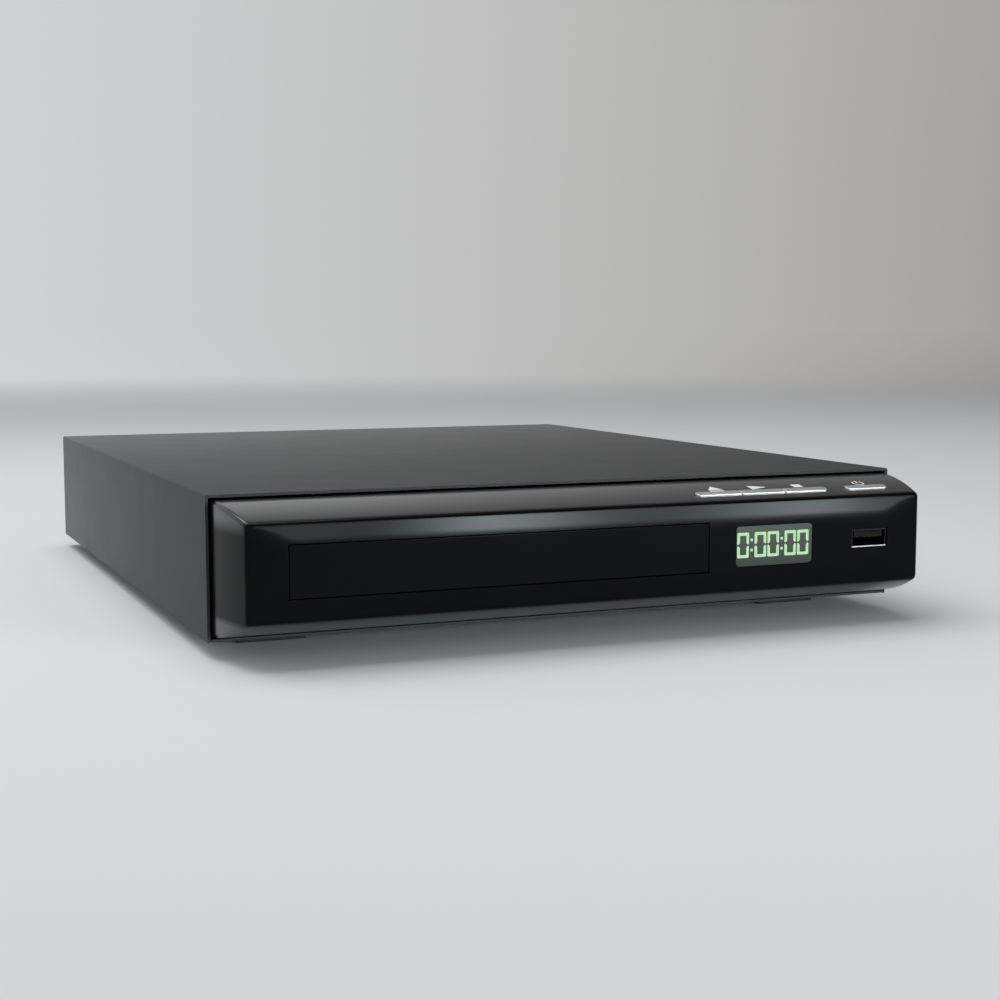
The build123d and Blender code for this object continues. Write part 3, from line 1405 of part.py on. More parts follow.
# Round signal jacks in one block: block, metal shells and coloured inserts
jack_end = case_back + jack_reach
with BuildPart() as jack_block:
    block_x = (jack_places[0] - jack_body_side / 2, jack_places[-1] + jack_body_side / 2)
    block(block_x, jack_body_y, (board_high, jack_z + jack_body_side / 2))
jack_block.part.label = "jack_block"
export_step(jack_block.part, "parts/jack_block.step")

jack_inner_radius = jack_outer_radius - jack_wall
jack_neck_radius = jack_outer_radius - jack_wall / 2
with BuildPart() as jack_shells:
    for jack_x in jack_places:
        lying_drum(jack_x, (rear_inner, rear_outer), jack_z, jack_neck_radius)
        lying_drum(jack_x, (rear_outer, jack_end), jack_z, jack_outer_radius)
        lying_drum(jack_x, (rear_inner, jack_end), jack_z, jack_inner_radius, Mode.SUBTRACT)
jack_shells.part.label = "jack_shells"
export_step(jack_shells.part, "parts/jack_shells.step")

with BuildPart() as jack_inserts:
    for jack_x in jack_places:
        insert_y = (rear_inner, jack_end - jack_plate)
        lying_drum(jack_x, insert_y, jack_z, jack_inner_radius - magnet_gap)
        lying_drum(jack_x, insert_y, jack_z, jack_hole_radius, Mode.SUBTRACT)
jack_inserts.part.label = "jack_inserts"
export_step(jack_inserts.part, "parts/jack_inserts.step")

# Video socket: a folded shell with its lower corners cut off, round a tongue
with BuildPart() as video_socket:
    video_y = (case_back - video_depth, case_back)
    with BuildSketch(Plane.XZ.offset(-video_y[0])):
        for shrink, mode in ((0, Mode.ADD), (video_shell, Mode.SUBTRACT)):
            half_wide = video_width / 2 - shrink
            half_narrow = video_narrow / 2 - shrink
            half_high = video_height / 2 - shrink
            Polygon(
                (video_middle - half_wide, video_z + half_high),
                (video_middle + half_wide, video_z + half_high),
                (video_middle + half_wide, video_z - video_shoulder),
                (video_middle + half_narrow, video_z - half_high),
                (video_middle - half_narrow, video_z - half_high),
                (video_middle - half_wide, video_z - video_shoulder),
                align=None,
                mode=mode,
            )
    extrude(amount=-video_depth)
    block(
        (video_middle - video_narrow / 2, video_middle + video_narrow / 2),
        (video_y[0], video_y[0] + video_wall),
        (board_high, video_z + video_height / 2 - video_shell),
    )
    block(
        (video_middle - video_narrow / 2, video_middle + video_narrow / 2),
        (video_y[0], video_y[1] - video_tongue_setback),
        (video_z, video_z + video_wall),
    )
video_socket.part.label = "video_socket"
export_step(video_socket.part, "parts/video_socket.step")
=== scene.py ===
import json
import math

import bmesh
import bpy
from mathutils import Matrix, Vector

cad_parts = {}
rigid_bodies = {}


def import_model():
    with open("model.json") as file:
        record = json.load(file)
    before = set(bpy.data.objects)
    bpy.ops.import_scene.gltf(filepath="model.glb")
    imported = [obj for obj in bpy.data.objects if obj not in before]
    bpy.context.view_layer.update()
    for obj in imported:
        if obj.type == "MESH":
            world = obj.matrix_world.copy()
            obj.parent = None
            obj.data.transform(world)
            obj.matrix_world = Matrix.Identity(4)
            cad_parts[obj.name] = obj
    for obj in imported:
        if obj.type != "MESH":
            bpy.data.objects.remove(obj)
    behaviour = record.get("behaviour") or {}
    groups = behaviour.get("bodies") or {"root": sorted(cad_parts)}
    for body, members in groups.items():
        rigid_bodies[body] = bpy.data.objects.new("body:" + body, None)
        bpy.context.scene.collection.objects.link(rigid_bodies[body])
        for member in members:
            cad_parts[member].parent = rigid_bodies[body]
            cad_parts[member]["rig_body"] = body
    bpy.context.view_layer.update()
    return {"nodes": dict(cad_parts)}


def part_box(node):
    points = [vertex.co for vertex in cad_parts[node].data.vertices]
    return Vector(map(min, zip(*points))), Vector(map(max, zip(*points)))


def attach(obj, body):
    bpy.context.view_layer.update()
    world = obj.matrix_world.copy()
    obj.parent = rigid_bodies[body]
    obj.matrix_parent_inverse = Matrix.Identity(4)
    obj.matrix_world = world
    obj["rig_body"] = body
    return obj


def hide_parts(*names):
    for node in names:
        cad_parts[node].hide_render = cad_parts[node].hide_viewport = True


bl_info = {
    "name": "Slim Disc Player",
    "version": (1, 0, 0),
    "blender": (4, 5, 0),
    "location": "View3D > Sidebar > Disc Player",
    "description": "Dresses a packed disc player with its mouldings, paint, display, keys and studio",
    "category": "Object",
}

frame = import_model()

MM = 0.001
cover_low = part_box("top_cover")[0]
door_low, door_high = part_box("tray_front")
window_low, window_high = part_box("display_window")
socket_low, socket_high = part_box("usb_socket")

CASE_BACK = 149.725 * MM
CASE_FRONT = cover_low.y
BASE = cover_low.z
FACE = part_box("front_panel")[0].y

# How close two places lie that count as one
NEAR = 1e-6
VERY_NEAR = 1e-7

CORNER_SEGMENTS = 8
SMOOTH_ANGLE = math.radians(32)
FRONT_SMOOTH_ANGLE = math.radians(28)

# The bevels of the front: how far they reach, how far they tuck under the cover, and for each one
# its start, its lean and its curve in millimetres
BEVEL_REACH = 25.35 * MM
BEVEL_TUCK = 4.0 * MM
SIDE_START, SIDE_LEAN, SIDE_CURVE = 120.0 - 1.41, 2.2, 2.1
TOP_START, TOP_LEAN, TOP_CURVE = 42.5, 1.5, 3.3
BOTTOM_START, BOTTOM_LEAN, BOTTOM_CURVE = 1.3, 3.5, 4.2

# The crowned face: its flat part, and its outlines as shares of the crown and of the corner radius
FLAT_HALF = 104.3 * MM
FLAT_LOW = BASE + 15.3 * MM
FLAT_HIGH = BASE + 31.7 * MM
CROWN_OUTLINES = ((0.2, 0.45), (0.45, 0.8), (0.7, 0.95), (1.0, 1.0))

# The openings of the front
DOOR_GAP = 0.3 * MM
DOOR_ROUNDING = 0.22 * MM
WINDOW_GAP = 0.1 * MM
WINDOW_LEDGE = 1.2 * MM
WINDOW_CORNER = 1.3 * MM
WINDOW_ROUNDING = 0.12 * MM
PORT_GAP = 0.3 * MM
OPENING_DEPTH = 4.0 * MM

# The keys, on a frame that lies on the top bevel: how far in front of the cover they stand, their
# bars (their ends' corner as a share of half their depth) with the slot round them, and the flanges
# that hold them in
BAR_REACH = 18.7 * MM
BAR_HALF = 1.5 * MM
BAR_GAP = 0.3 * MM
BAR_LOW = -2.95 * MM
BAR_HIGH = 0.5 * MM
BAR_ROUNDING = 0.32 * MM
BAR_CORNER = 0.72
SLOT_HALF_DEPTH = 3.3 * MM
FLANGE_HALF = 2.4 * MM
FLANGE_LOW = -3.9 * MM
FLANGE_HIGH = -2.9 * MM
FLANGE_ROUNDING = 0.15 * MM

# The posts of the key board: beside which key's left or right end and how far from it they stand,
# and their size in the keys' frame
POSTS = (("eject", 0, -1.4 * MM), ("stop", 1, 4.1 * MM), ("power", 1, 2.4 * MM))
POST_RADIUS = 2.0 * MM
POST_BACK = 4.5 * MM
POST_LOW = -7.75 * MM
POST_HIGH = -1.1 * MM

# The printed symbols: how far in front of the cover they stand, and each one's shift along its key
# and its shapes in millimetres: corners, place, size and turn
SYMBOL_REACH = 14.1 * MM
SYMBOL_THICKNESS = 0.06 * MM
SYMBOLS = {
    "eject": (1.3, ((3, (0, 0.63), (3.0, 2.47)), (4, (0, -1.8), (5.2, 1.0)))),
    "play": (1.0, ((3, (-0.9, 0.1), (4.0, 2.31), -math.pi / 2),)),
    "stop": (-0.4, ((4, (0, 0), (3.4, 3.0)),)),
    "power": (0.2, ((4, (0, 1.35), (0.5, 2.1)),)),
}
POWER_RING = {"radius": 1.85, "width": 0.5, "gap": 2.4}

# The lit figures, in millimetres, and as shares of their stroke the lap of their halves and the taper
# of their free ends
FIGURE_STROKE = 0.95
FIGURE_LAP = 0.2
FIGURE_TAPER = 0.6
FIGURE_SPACING = 0.5
FIGURE_CORNER = 0.3
COLON_WIDTH = 1.6
COLON_DOT = 0.84
COLON_HEIGHTS = (0.3, 0.7)
FIGURE_SETBACK = 0.05 * MM
FIGURE_THICKNESS = 0.08 * MM

# The heads of the screws: the cross's size, and for each node the axis of its screws and their scale
CROSS_LENGTH = 2.6 * MM
CROSS_WIDTH = 0.55 * MM
CROSS_DEPTH = 0.7 * MM
SCREWS = {"cover_screws": (1, 1.0), "board_screws": (2, 0.8)}

# The gloss front: from where and over how much depth it turns satin, and from where and over how much
# height the coat grows that gives its upper and its lower bevel their shine
SATIN_START, SATIN_LENGTH = FACE + 1.2 * MM, 2.0 * MM
UPPER_START, UPPER_LENGTH = BASE + 34.0 * MM, 4.0 * MM
LOWER_START, LOWER_LENGTH = BASE + 9.0 * MM, -2.0 * MM

# The room's grey: in the middle, its lean and its fall towards the right, and its limits
ROOM_MIDDLE = 0.66
ROOM_LEAN = 0.22
ROOM_FALL = 0.38
ROOM_LIMITS = (0.24, 0.72)
FLOOR_RADIUS = 30

# The panels in front: a strip of the face at x mirrors what stands at MIRROR_SHIFT + x * MIRROR_SCALE.
# For each one, left and right of its strip, the height of its middle, its own height and its radiance
MIRROR_SHIFT = 0.677
MIRROR_SCALE = 3.97
PANEL_Y = -1.50
PANEL_AIM = (-0.16, 0.04)
PANEL_SPREAD = math.radians(34)
PANEL_COLOUR = (0.88, 0.97, 1.0)
FRONT_PANELS = (
    (-0.140, -0.108, 0.15, 0.14, 12.0),
    (-0.106, -0.088, 0.21, 0.30, 13.0),
    (-0.068, -0.056, 0.21, 0.30, 8.0),
    (-0.052, -0.034, 0.21, 0.30, 92.0),
    (-0.032, -0.014, 0.21, 0.30, 48.0),
    (-0.010, 0.010, 0.21, 0.30, 9.0),
    (0.014, 0.034, 0.21, 0.30, 7.0),
    (0.036, 0.048, 0.21, 0.30, 18.0),
    (0.048, 0.066, 0.21, 0.30, 38.0),
    (0.066, 0.083, 0.21, 0.30, 68.0),
    (0.110, 0.150, 0.14, 0.12, 20.0),
)


def length(name, description, default, low, high):
    """A property for a length in metres."""
    return bpy.props.FloatProperty(
        name=name, description=description, default=default, min=low, max=high,
        unit="LENGTH", subtype="DISTANCE",
    )


def colour(name, description, default):
    """A property for a colour."""
    return bpy.props.FloatVectorProperty(
        name=name, description=description, default=default, min=0, max=1, size=3, subtype="COLOR",
    )


class PlayerSizes(bpy.types.PropertyGroup):
    """Sizes of the dressed player that a user would change"""

    shell_stations: bpy.props.IntProperty(
        name="Shell Stations",
        description="How many outlines shape the four bevels of the front",
        default=12, min=4, max=40,
    )
    rim_rounding: length(
        "Rim Rounding", "Radius where the bevels turn into the face", 0.0012, 0.0002, 0.003
    )
    corner_rounding: length(
        "Corner Rounding", "Radius of the front's four long corners", 0.0014, 0.0005, 0.004
    )
    crown_corner: length(
        "Crown Corner", "Corner radius of the flat part of the crowned face", 0.0070, 0.003, 0.008
    )
    crease_rounding: length(
        "Crease Rounding", "Softness of the crease round the flat part of the face", 0.0026, 0.0001, 0.003
    )
    wall: length("Wall", "Thickness of the front moulding", 0.0022, 0.0010, 0.0022)
    cut_edge: length(
        "Cut Edge", "Rounding of the edges round the door, the window and the slots",
        0.00018, 0.00005, 0.0003,
    )
    print_lift: length(
        "Print Lift", "How far the printed symbols stand off the plastic", 0.00003, 0.00001, 0.0001
    )


class PlayerColours(bpy.types.PropertyGroup):
    """Colours of the dressed player that a user would change"""

    gloss: colour("Front Plastic", "Gloss moulding of the front", (0.0024, 0.0024, 0.0027))
    paint: colour("Cover Paint", "Satin paint of the folded cover", (0.020, 0.021, 0.022))
    silver: colour("Keys", "Silver lacquer of the four keys", (0.62, 0.63, 0.64))
    window: colour("Display Window", "Smoked window in front of the display", (0.062, 0.073, 0.061))
    figures: colour("Display Figures", "Light of the display's figures", (0.58, 0.92, 0.54))
    ink: colour("Printed Symbols", "White ink of the symbols behind the keys", (0.80, 0.81, 0.80))


class PlayerStage(bpy.types.PropertyGroup):
    """The camera and the light round the player"""

    camera_place: bpy.props.FloatVectorProperty(
        name="Camera Place", description="Where the camera stands",
        subtype="TRANSLATION", size=3, default=(-0.22773, -0.609995, 0.09838),
    )
    camera_azimuth: bpy.props.FloatProperty(
        name="Camera Azimuth", description="Turn of the view from straight ahead towards +X",
        subtype="ANGLE", default=math.radians(22.855),
    )
    camera_drop: bpy.props.FloatProperty(
        name="Camera Drop", description="How far the view looks down",
        subtype="ANGLE", default=math.radians(5.993),
    )
    camera_lens: bpy.props.FloatProperty(
        name="Focal Length", description="Focal length for a 36 mm sensor",
        default=59.70, min=10, max=300, unit="CAMERA",
    )
    floor: colour("Floor Colour", "Pale floor under the player", (0.775, 0.783, 0.795))
    softbox_place: bpy.props.FloatVectorProperty(
        name="Softbox Place", description="Where the overhead softbox hangs",
        subtype="TRANSLATION", size=3, default=(-0.30, 0.18, 1.15),
    )
    softbox_power: bpy.props.FloatProperty(
        name="Softbox Power", description="Power of the overhead softbox",
        default=9.5, min=0, max=100, unit="POWER",
    )


class Link:
    """A value in a material: Python's arithmetic on it adds Math nodes"""

    def __init__(self, tree, socket):
        self.tree = tree
        self.socket = socket

    def _math(self, operation, *values):
        node = self.tree.nodes.new("ShaderNodeMath")
        node.operation = operation
        for place, value in zip(node.inputs, values):
            if isinstance(value, Link):
                self.tree.links.new(value.socket, place)
            else:
                place.default_value = value
        return Link(self.tree, node.outputs[0])

    def __add__(self, other):
        return self._math("ADD", self, other)

    def __radd__(self, other):
        return self._math("ADD", other, self)

    def __sub__(self, other):
        return self._math("SUBTRACT", self, other)

    def __rsub__(self, other):
        return self._math("SUBTRACT", other, self)

    def __mul__(self, other):
        return self._math("MULTIPLY", self, other)

    def __rmul__(self, other):
        return self._math("MULTIPLY", other, self)

    def __truediv__(self, other):
        return self._math("DIVIDE", self, other)

    def __rtruediv__(self, other):
        return self._math("DIVIDE", other, self)

    def __pow__(self, other):
        return self._math("POWER", self, other)

    def __rpow__(self, other):
        return self._math("POWER", other, self)

    def __gt__(self, other):
        return self._math("GREATER_THAN", self, other)

    def __lt__(self, other):
        return self._math("LESS_THAN", self, other)

    def fraction(self):
        return self._math("FRACT", self)

    def limit(self, low=0.0, high=1.0):
        return self._math("MINIMUM", self._math("MAXIMUM", self, low), high)

    def ramp(self, start, length):
        """Rises from 0 at start to 1 over a length, or falls back where the length is negative."""
        return ((self - start) / length).limit()


class Finish:
    """One material, its nodes and its shader, by the object's own coordinates"""

    coordinates = 3  # the coordinate node's output

    def __init__(self, name, **sockets):
        self.material = bpy.data.materials.new(name)
        self.material.use_nodes = True
        self.tree = self.material.node_tree
        self.shader = self.tree.nodes["Principled BSDF"]
        self._place = None
        self.look(**sockets)

    def set(self, node, numbered=None, **sockets):
        """Sets or links a node's sockets, by name or by number."""
        named = {name.replace("_", " "): value for name, value in sockets.items()}
        for name, value in {**(numbered or {}), **named}.items():
            place = node.inputs[name]
            if isinstance(value, Link):
                self.tree.links.new(value.socket, place)
            elif hasattr(value, "__len__") and len(value) == 3 and place.type == "RGBA":
                place.default_value = (*value, 1.0)
            else:
                place.default_value = value

    def node(self, kind, settings=None, output=0, numbered=None, **sockets):
        """Adds a node with its settings and sockets, and gives one of its outputs."""
        node = self.tree.nodes.new(kind)
        for name, value in (settings or {}).items():
            setattr(node, name, value)
        self.set(node, numbered, **sockets)
        return Link(self.tree, node.outputs[output])

    def look(self, **sockets):
        """Sets or links the shader's own sockets."""
        self.set(self.shader, **sockets)

    def place(self):
        """The coordinates, from one node for the whole material."""
        if self._place is None:
            self._place = self.node("ShaderNodeTexCoord", output=self.coordinates)
        return self._place

    def part(self, axis):
        """One coordinate of the place."""
        return self.node("ShaderNodeSeparateXYZ", output=axis, Vector=self.place())

    def noise(self, scale, detail=2, stretch=None):
        where = self.place()
        if stretch:
            where = self.node("ShaderNodeMapping", Vector=where, Scale=stretch)
        return self.node("ShaderNodeTexNoise", Vector=where, Scale=scale, Detail=detail)

    def grains(self, scale):
        return self.node("ShaderNodeTexVoronoi", Vector=self.place(), Scale=scale)

    def blend(self, factor, first, second):
        return self.node("ShaderNodeMix", {"data_type": "RGBA"}, 2, {0: factor, 6: first, 7: second})

    def tint(self, factor, colour, dark, pale):
        """Blends from a darker to a paler shade of one colour."""
        shades = [tuple(min(1.0, part * by) for part in colour) for by in (dark, pale)]
        return self.blend(factor, *shades)

    def bump(self, height, distance, strength=1.0):
        normal = self.node("ShaderNodeBump", Height=height, Distance=distance, Strength=strength)
        self.look(Normal=normal)

    def on(self, *pieces):
        for piece in pieces:
            piece.data.materials.clear()
            piece.data.materials.append(self.material)


class Room(Finish):
    """The room's own nodes, by direction"""

    coordinates = 0

    def __init__(self, world):
        self.tree = world.node_tree
        self._place = None


def moulded(name, colour, roughness=0.45, grain=9000, depth=0.00001, spread=0.06, **sockets):
    """A fine matt moulding with a clouded colour and a spark-eroded texture."""
    finish = Finish(name, Roughness=roughness, **sockets)
    finish.look(Base_Color=finish.tint(finish.noise(60, 3), colour, 0.86, 1.12))
    finish.look(Roughness=roughness - spread / 2 + finish.noise(400) * spread)
    finish.bump(finish.noise(grain), depth)
    return finish


def deselect():
    """Leaves edit mode and deselects everything."""
    if bpy.context.mode != "OBJECT":
        bpy.ops.object.mode_set(mode="OBJECT")
    bpy.ops.object.select_all(action="DESELECT")


def only(piece):
    """Selects one piece alone."""
    deselect()
    piece.select_set(True)
    bpy.context.view_layer.objects.active = piece


def edit(piece):
    """Opens one piece in edit mode with all of it selected."""
    only(piece)
    bpy.ops.object.mode_set(mode="EDIT")
    bpy.ops.mesh.select_all(action="SELECT")


def take(piece, chosen, kind="VERT"):
    """Selects what chosen picks of a piece in edit mode."""
    bpy.ops.mesh.select_all(action="DESELECT")
    bpy.ops.mesh.select_mode(type=kind)
    form = bmesh.from_edit_mesh(piece.data)
    parts = {"VERT": form.verts, "EDGE": form.edges, "FACE": form.faces}[kind]
    for part in parts:
        part.select = bool(chosen(part))
    form.select_flush_mode()
    bmesh.update_edit_mesh(piece.data)


def smooth(piece, angle=SMOOTH_ANGLE):
    """Shades a piece smooth but for its edges that turn by more than an angle."""
    only(piece)
    bpy.ops.object.shade_smooth_by_angle(angle=angle)


def settle(piece, name=None, angle=SMOOTH_ANGLE):
    """Puts a finished piece's place into its mesh and shades it."""
    only(piece)
    bpy.ops.object.transform_apply()
    smooth(piece, angle)
    if name:
        piece.name = name
        piece.data.name = name


def add_modifier(piece, kind, **settings):
    """Adds a modifier to a piece and applies it."""
    only(piece)
    modifier = piece.modifiers.new(kind.title(), kind)
    for name, value in settings.items():
        setattr(modifier, name, value)
    bpy.ops.object.modifier_apply(modifier=modifier.name)


def break_edges(piece, width, segments, angle=30):
    """Rounds the edges of a piece that turn by more than an angle in degrees."""
    add_modifier(
        piece, "BEVEL", width=width, segments=segments,
        limit_method="ANGLE", angle_limit=math.radians(angle),
    )


def block(name, low, high, rounding=0.0, segments=3):
    """A box between two corners with rounded edges."""
    deselect()
    middle = (Vector(low) + Vector(high)) / 2
    bpy.ops.mesh.primitive_cube_add(size=1, location=middle, scale=Vector(high) - Vector(low))
    piece = bpy.context.object
    bpy.ops.object.transform_apply()
    if rounding:
        break_edges(piece, rounding, segments)
    piece.name = name
    return piece


def cut(piece, *tools):
    """Takes the tools' space out of a piece and removes them."""
    for tool in tools:
        add_modifier(piece, "BOOLEAN", operation="DIFFERENCE", object=tool, solver="EXACT")
        bpy.data.objects.remove(tool)


def join(*pieces):
    """Joins pieces into the first of them."""
    deselect()
    for piece in pieces:
        piece.select_set(True)
    bpy.context.view_layer.objects.active = pieces[0]
    bpy.ops.object.join()
    return pieces[0]


def outward(piece):
    """Merges a piece's doubles and turns its faces outwards."""
    edit(piece)
    bpy.ops.mesh.remove_doubles(threshold=NEAR)
    bpy.ops.mesh.normals_make_consistent(inside=False)
    bpy.ops.object.mode_set(mode="OBJECT")


def dressed_copy(node, rounding=0.0):
    """A merged copy of a CAD node with its edges broken, in the node's place."""
    deselect()
    source = frame["nodes"][node]
    piece = source.copy()
    piece.data = source.data.copy()
    for key in list(piece.keys()):
        del piece[key]
    piece.parent = None
    bpy.context.collection.objects.link(piece)
    piece.hide_render = False
    piece.hide_viewport = False
    piece.name = node + "_finished"
    piece.data.name = piece.name
    edit(piece)
    bpy.ops.mesh.remove_doubles(threshold=2 * NEAR)
    bpy.ops.mesh.dissolve_limited(angle_limit=math.radians(0.4))
    bpy.ops.object.mode_set(mode="OBJECT")
    if rounding:
        break_edges(piece, rounding, 2, 40)
    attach(piece, source["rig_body"])
    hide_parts(node)
    return piece


class PLAYER_OT_stage(bpy.types.Operator):
    """Adds the floor, the room, the lamps and the camera"""

    bl_idname = "player.stage"
    bl_label = "Studio"

    def room_light(self, make, across):
        """The room's grey by direction: paler and cooler at the left, dimmer and warmer at the right."""
        warm = (across * 1.6 - 0.1).limit()
        fall = (across * across) * (across > 0.0) * ROOM_FALL
        light = (ROOM_MIDDLE - across * ROOM_LEAN - fall).limit(*ROOM_LIMITS)
        return make.blend(warm, (0.98, 1.0, 1.02), (1.02, 1.0, 0.98)), light

    def lamp(self, context, name, place, target, size, power, spread=math.pi, colour=(1, 1, 1)):
        """An area lamp, its reflections seen but not the lamp itself."""
        data = bpy.data.lights.new(name, "AREA")
        data.shape = "RECTANGLE"
        data.size, data.size_y = size
        data.energy = power
        data.spread = spread
        data.color = colour
        lamp = bpy.data.objects.new(name, data)
        lamp.location = place
        lamp.visible_camera = False
        aim = Vector(target) - Vector(place)
        lamp.rotation_euler = aim.to_track_quat("-Z", "Y").to_euler()
        context.collection.objects.link(lamp)

    def execute(self, context):
        stage = context.scene.player_stage
        deselect()
        bpy.ops.mesh.primitive_circle_add(vertices=128, radius=FLOOR_RADIUS, fill_type="NGON")
        floor = context.object
        floor.name = "studio_floor"
        pale = Finish("Pale floor", Roughness=0.9, Base_Color=tuple(stage.floor), Specular_IOR_Level=0.1)
        far = (pale.part("X") ** 2 + pale.part("Y") ** 2) ** 0.5
        haze = far.ramp(0.9, 1.9)
        haze = haze * haze * (3 - 2 * haze)
        tint, light = self.room_light(pale, pale.part("X") / far)
        glow = pale.node("ShaderNodeEmission", Color=tint, Strength=light)
        near = Link(pale.tree, pale.shader.outputs[0])
        pale.set(
            pale.tree.nodes["Material Output"],
            Surface=pale.node("ShaderNodeMixShader", numbered={0: haze, 1: near, 2: glow}),
        )
        pale.on(floor)

        world = bpy.data.worlds.new("Studio room")
        world.use_nodes = True
        room = Room(world)
        across, rise = room.part("X"), room.part("Z")
        tint, light = self.room_light(room, across)
        raised = rise.ramp(0.18, 0.12)
        shade_side = across.ramp(0.28, 0.25)
        light = light * (1 + raised * (0.12 - shade_side * 0.5)) * (1 - rise.ramp(0.56, 0.1) * 0.6)
        room.set(world.node_tree.nodes["Background"], Color=tint, Strength=light)
        context.scene.world = world

        self.lamp(
            context, "overhead_softbox", stage.softbox_place, (0.0, 0.05, 0.03), (1.1, 1.1),
            stage.softbox_power,
        )
        narrowed = 1 - PANEL_SPREAD / 2 / math.tan(PANEL_SPREAD / 2)
        for number, (left, right, middle_height, height, strength) in enumerate(FRONT_PANELS, 1):
            mirror = (left + right) / 2
            size = ((right - left) * MIRROR_SCALE, height)
            self.lamp(
                context, f"front_panel_light_{number}",
                (MIRROR_SHIFT + mirror * MIRROR_SCALE, PANEL_Y, middle_height), (mirror, *PANEL_AIM),
                size, strength * math.pi * size[0] * size[1] * narrowed, PANEL_SPREAD, PANEL_COLOUR,
            )

        data = bpy.data.cameras.new("studio_camera")
        data.sensor_width = 36.0
        data.lens = stage.camera_lens
        data.clip_start = 0.01
        camera = bpy.data.objects.new("studio_camera", data)
        camera.location = stage.camera_place
        camera.rotation_euler = (math.pi / 2 - stage.camera_drop, 0, -stage.camera_azimuth)
        context.collection.objects.link(camera)
        context.scene.camera = camera
        context.scene.view_settings.view_transform = "Standard"
        return {"FINISHED"}


def bevel_half_width(t):
    return (SIDE_START - SIDE_LEAN * t - SIDE_CURVE * t * t) * MM


def bevel_top(t):
    return BASE + (TOP_START - TOP_LEAN * t - TOP_CURVE * t * t) * MM


def bevel_bottom(t):
    return BASE + (BOTTOM_START + BOTTOM_LEAN * t + BOTTOM_CURVE * t * t) * MM


def bevel_frame(x, reach, lift=0.0):
    """A frame that lies on the slope of the top bevel, as a matrix."""
    t = reach / BEVEL_REACH
    angle = math.atan((TOP_LEAN + 2 * TOP_CURVE * t) * MM / BEVEL_REACH)
    return Matrix.Translation((x, CASE_FRONT - reach, bevel_top(t) + lift)) @ Matrix.Rotation(angle, 4, "X")


def outline(y, half_width, low, high, corner):
    """Adds one rounded outline, open, to the piece in edit mode."""
    bpy.ops.mesh.select_all(action="DESELECT")
    bpy.ops.mesh.primitive_plane_add(
        size=1, location=(0, y, (low + high) / 2), rotation=(math.pi / 2, 0, 0)
    )
    bpy.ops.transform.resize(
        value=(2 * half_width, 1, high - low), center_override=(0, y, (low + high) / 2)
    )
    bpy.ops.mesh.bevel(affect="VERTICES", offset=corner, segments=CORNER_SEGMENTS, profile=0.5)
    bpy.ops.mesh.delete(type="ONLY_FACE")


def face_first(piece):
    """Lets the large faces of a piece set its shading, so flat forms look flat."""
    add_modifier(piece, "WEIGHTED_NORMAL", keep_sharp=True, mode="FACE_AREA", weight=80)


def key_post(x):
    """A post under the top bevel that carries the key board."""
    deselect()
    middle = (x, POST_BACK, (POST_LOW + POST_HIGH) / 2)
    bpy.ops.mesh.primitive_cylinder_add(
        vertices=32, radius=POST_RADIUS, depth=POST_HIGH - POST_LOW, location=middle
    )
    post = bpy.context.object
    bpy.ops.object.transform_apply()
    post.data.transform(bevel_frame(0, BAR_REACH))
    return post


def plate(name, low, high, corner):
    """An upright plate between two corners with its four long edges rounded."""
    piece = block(name, low, high)
    edit(piece)
    take(piece, lambda e: abs(e.verts[0].co.y - e.verts[1].co.y) > NEAR, "EDGE")
    bpy.ops.mesh.bevel(offset=corner, segments=CORNER_SEGMENTS, affect="EDGES")
    bpy.ops.object.mode_set(mode="OBJECT")
    return piece


def bar(name, left, right, half, low, high, round_left, round_right):
    """A bar lying along X whose chosen ends are rounded in plan."""
    piece = block(name, (left, -half, low), (right, half, high))
    edit(piece)
    ends = [x for x, rounded in ((left, round_left), (right, round_right)) if rounded]
    if ends:
        take(
            piece,
            lambda e: abs(e.verts[0].co.z - e.verts[1].co.z) > NEAR
            and min(abs(e.verts[0].co.x - x) for x in ends) < NEAR,
            "EDGE",
        )
        bpy.ops.mesh.bevel(offset=half * BAR_CORNER, segments=7, affect="EDGES")
    bpy.ops.object.mode_set(mode="OBJECT")
    return piece


def empty_piece(name):
    """An empty piece, left in edit mode."""
    deselect()
    bpy.ops.mesh.primitive_plane_add(size=0.001, location=(0, 0, 0))
    piece = bpy.context.object
    piece.name = name
    edit(piece)
    bpy.ops.mesh.delete(type="VERT")
    return piece


def opening(name, low, high, gap, back=FACE + OPENING_DEPTH, make=block, *settings):
    """A tool that opens the face round a box, a gap larger than the box on each side."""
    return make(name, (low.x - gap, FACE - MM, low.z - gap), (high.x + gap, back, high.z + gap), *settings)


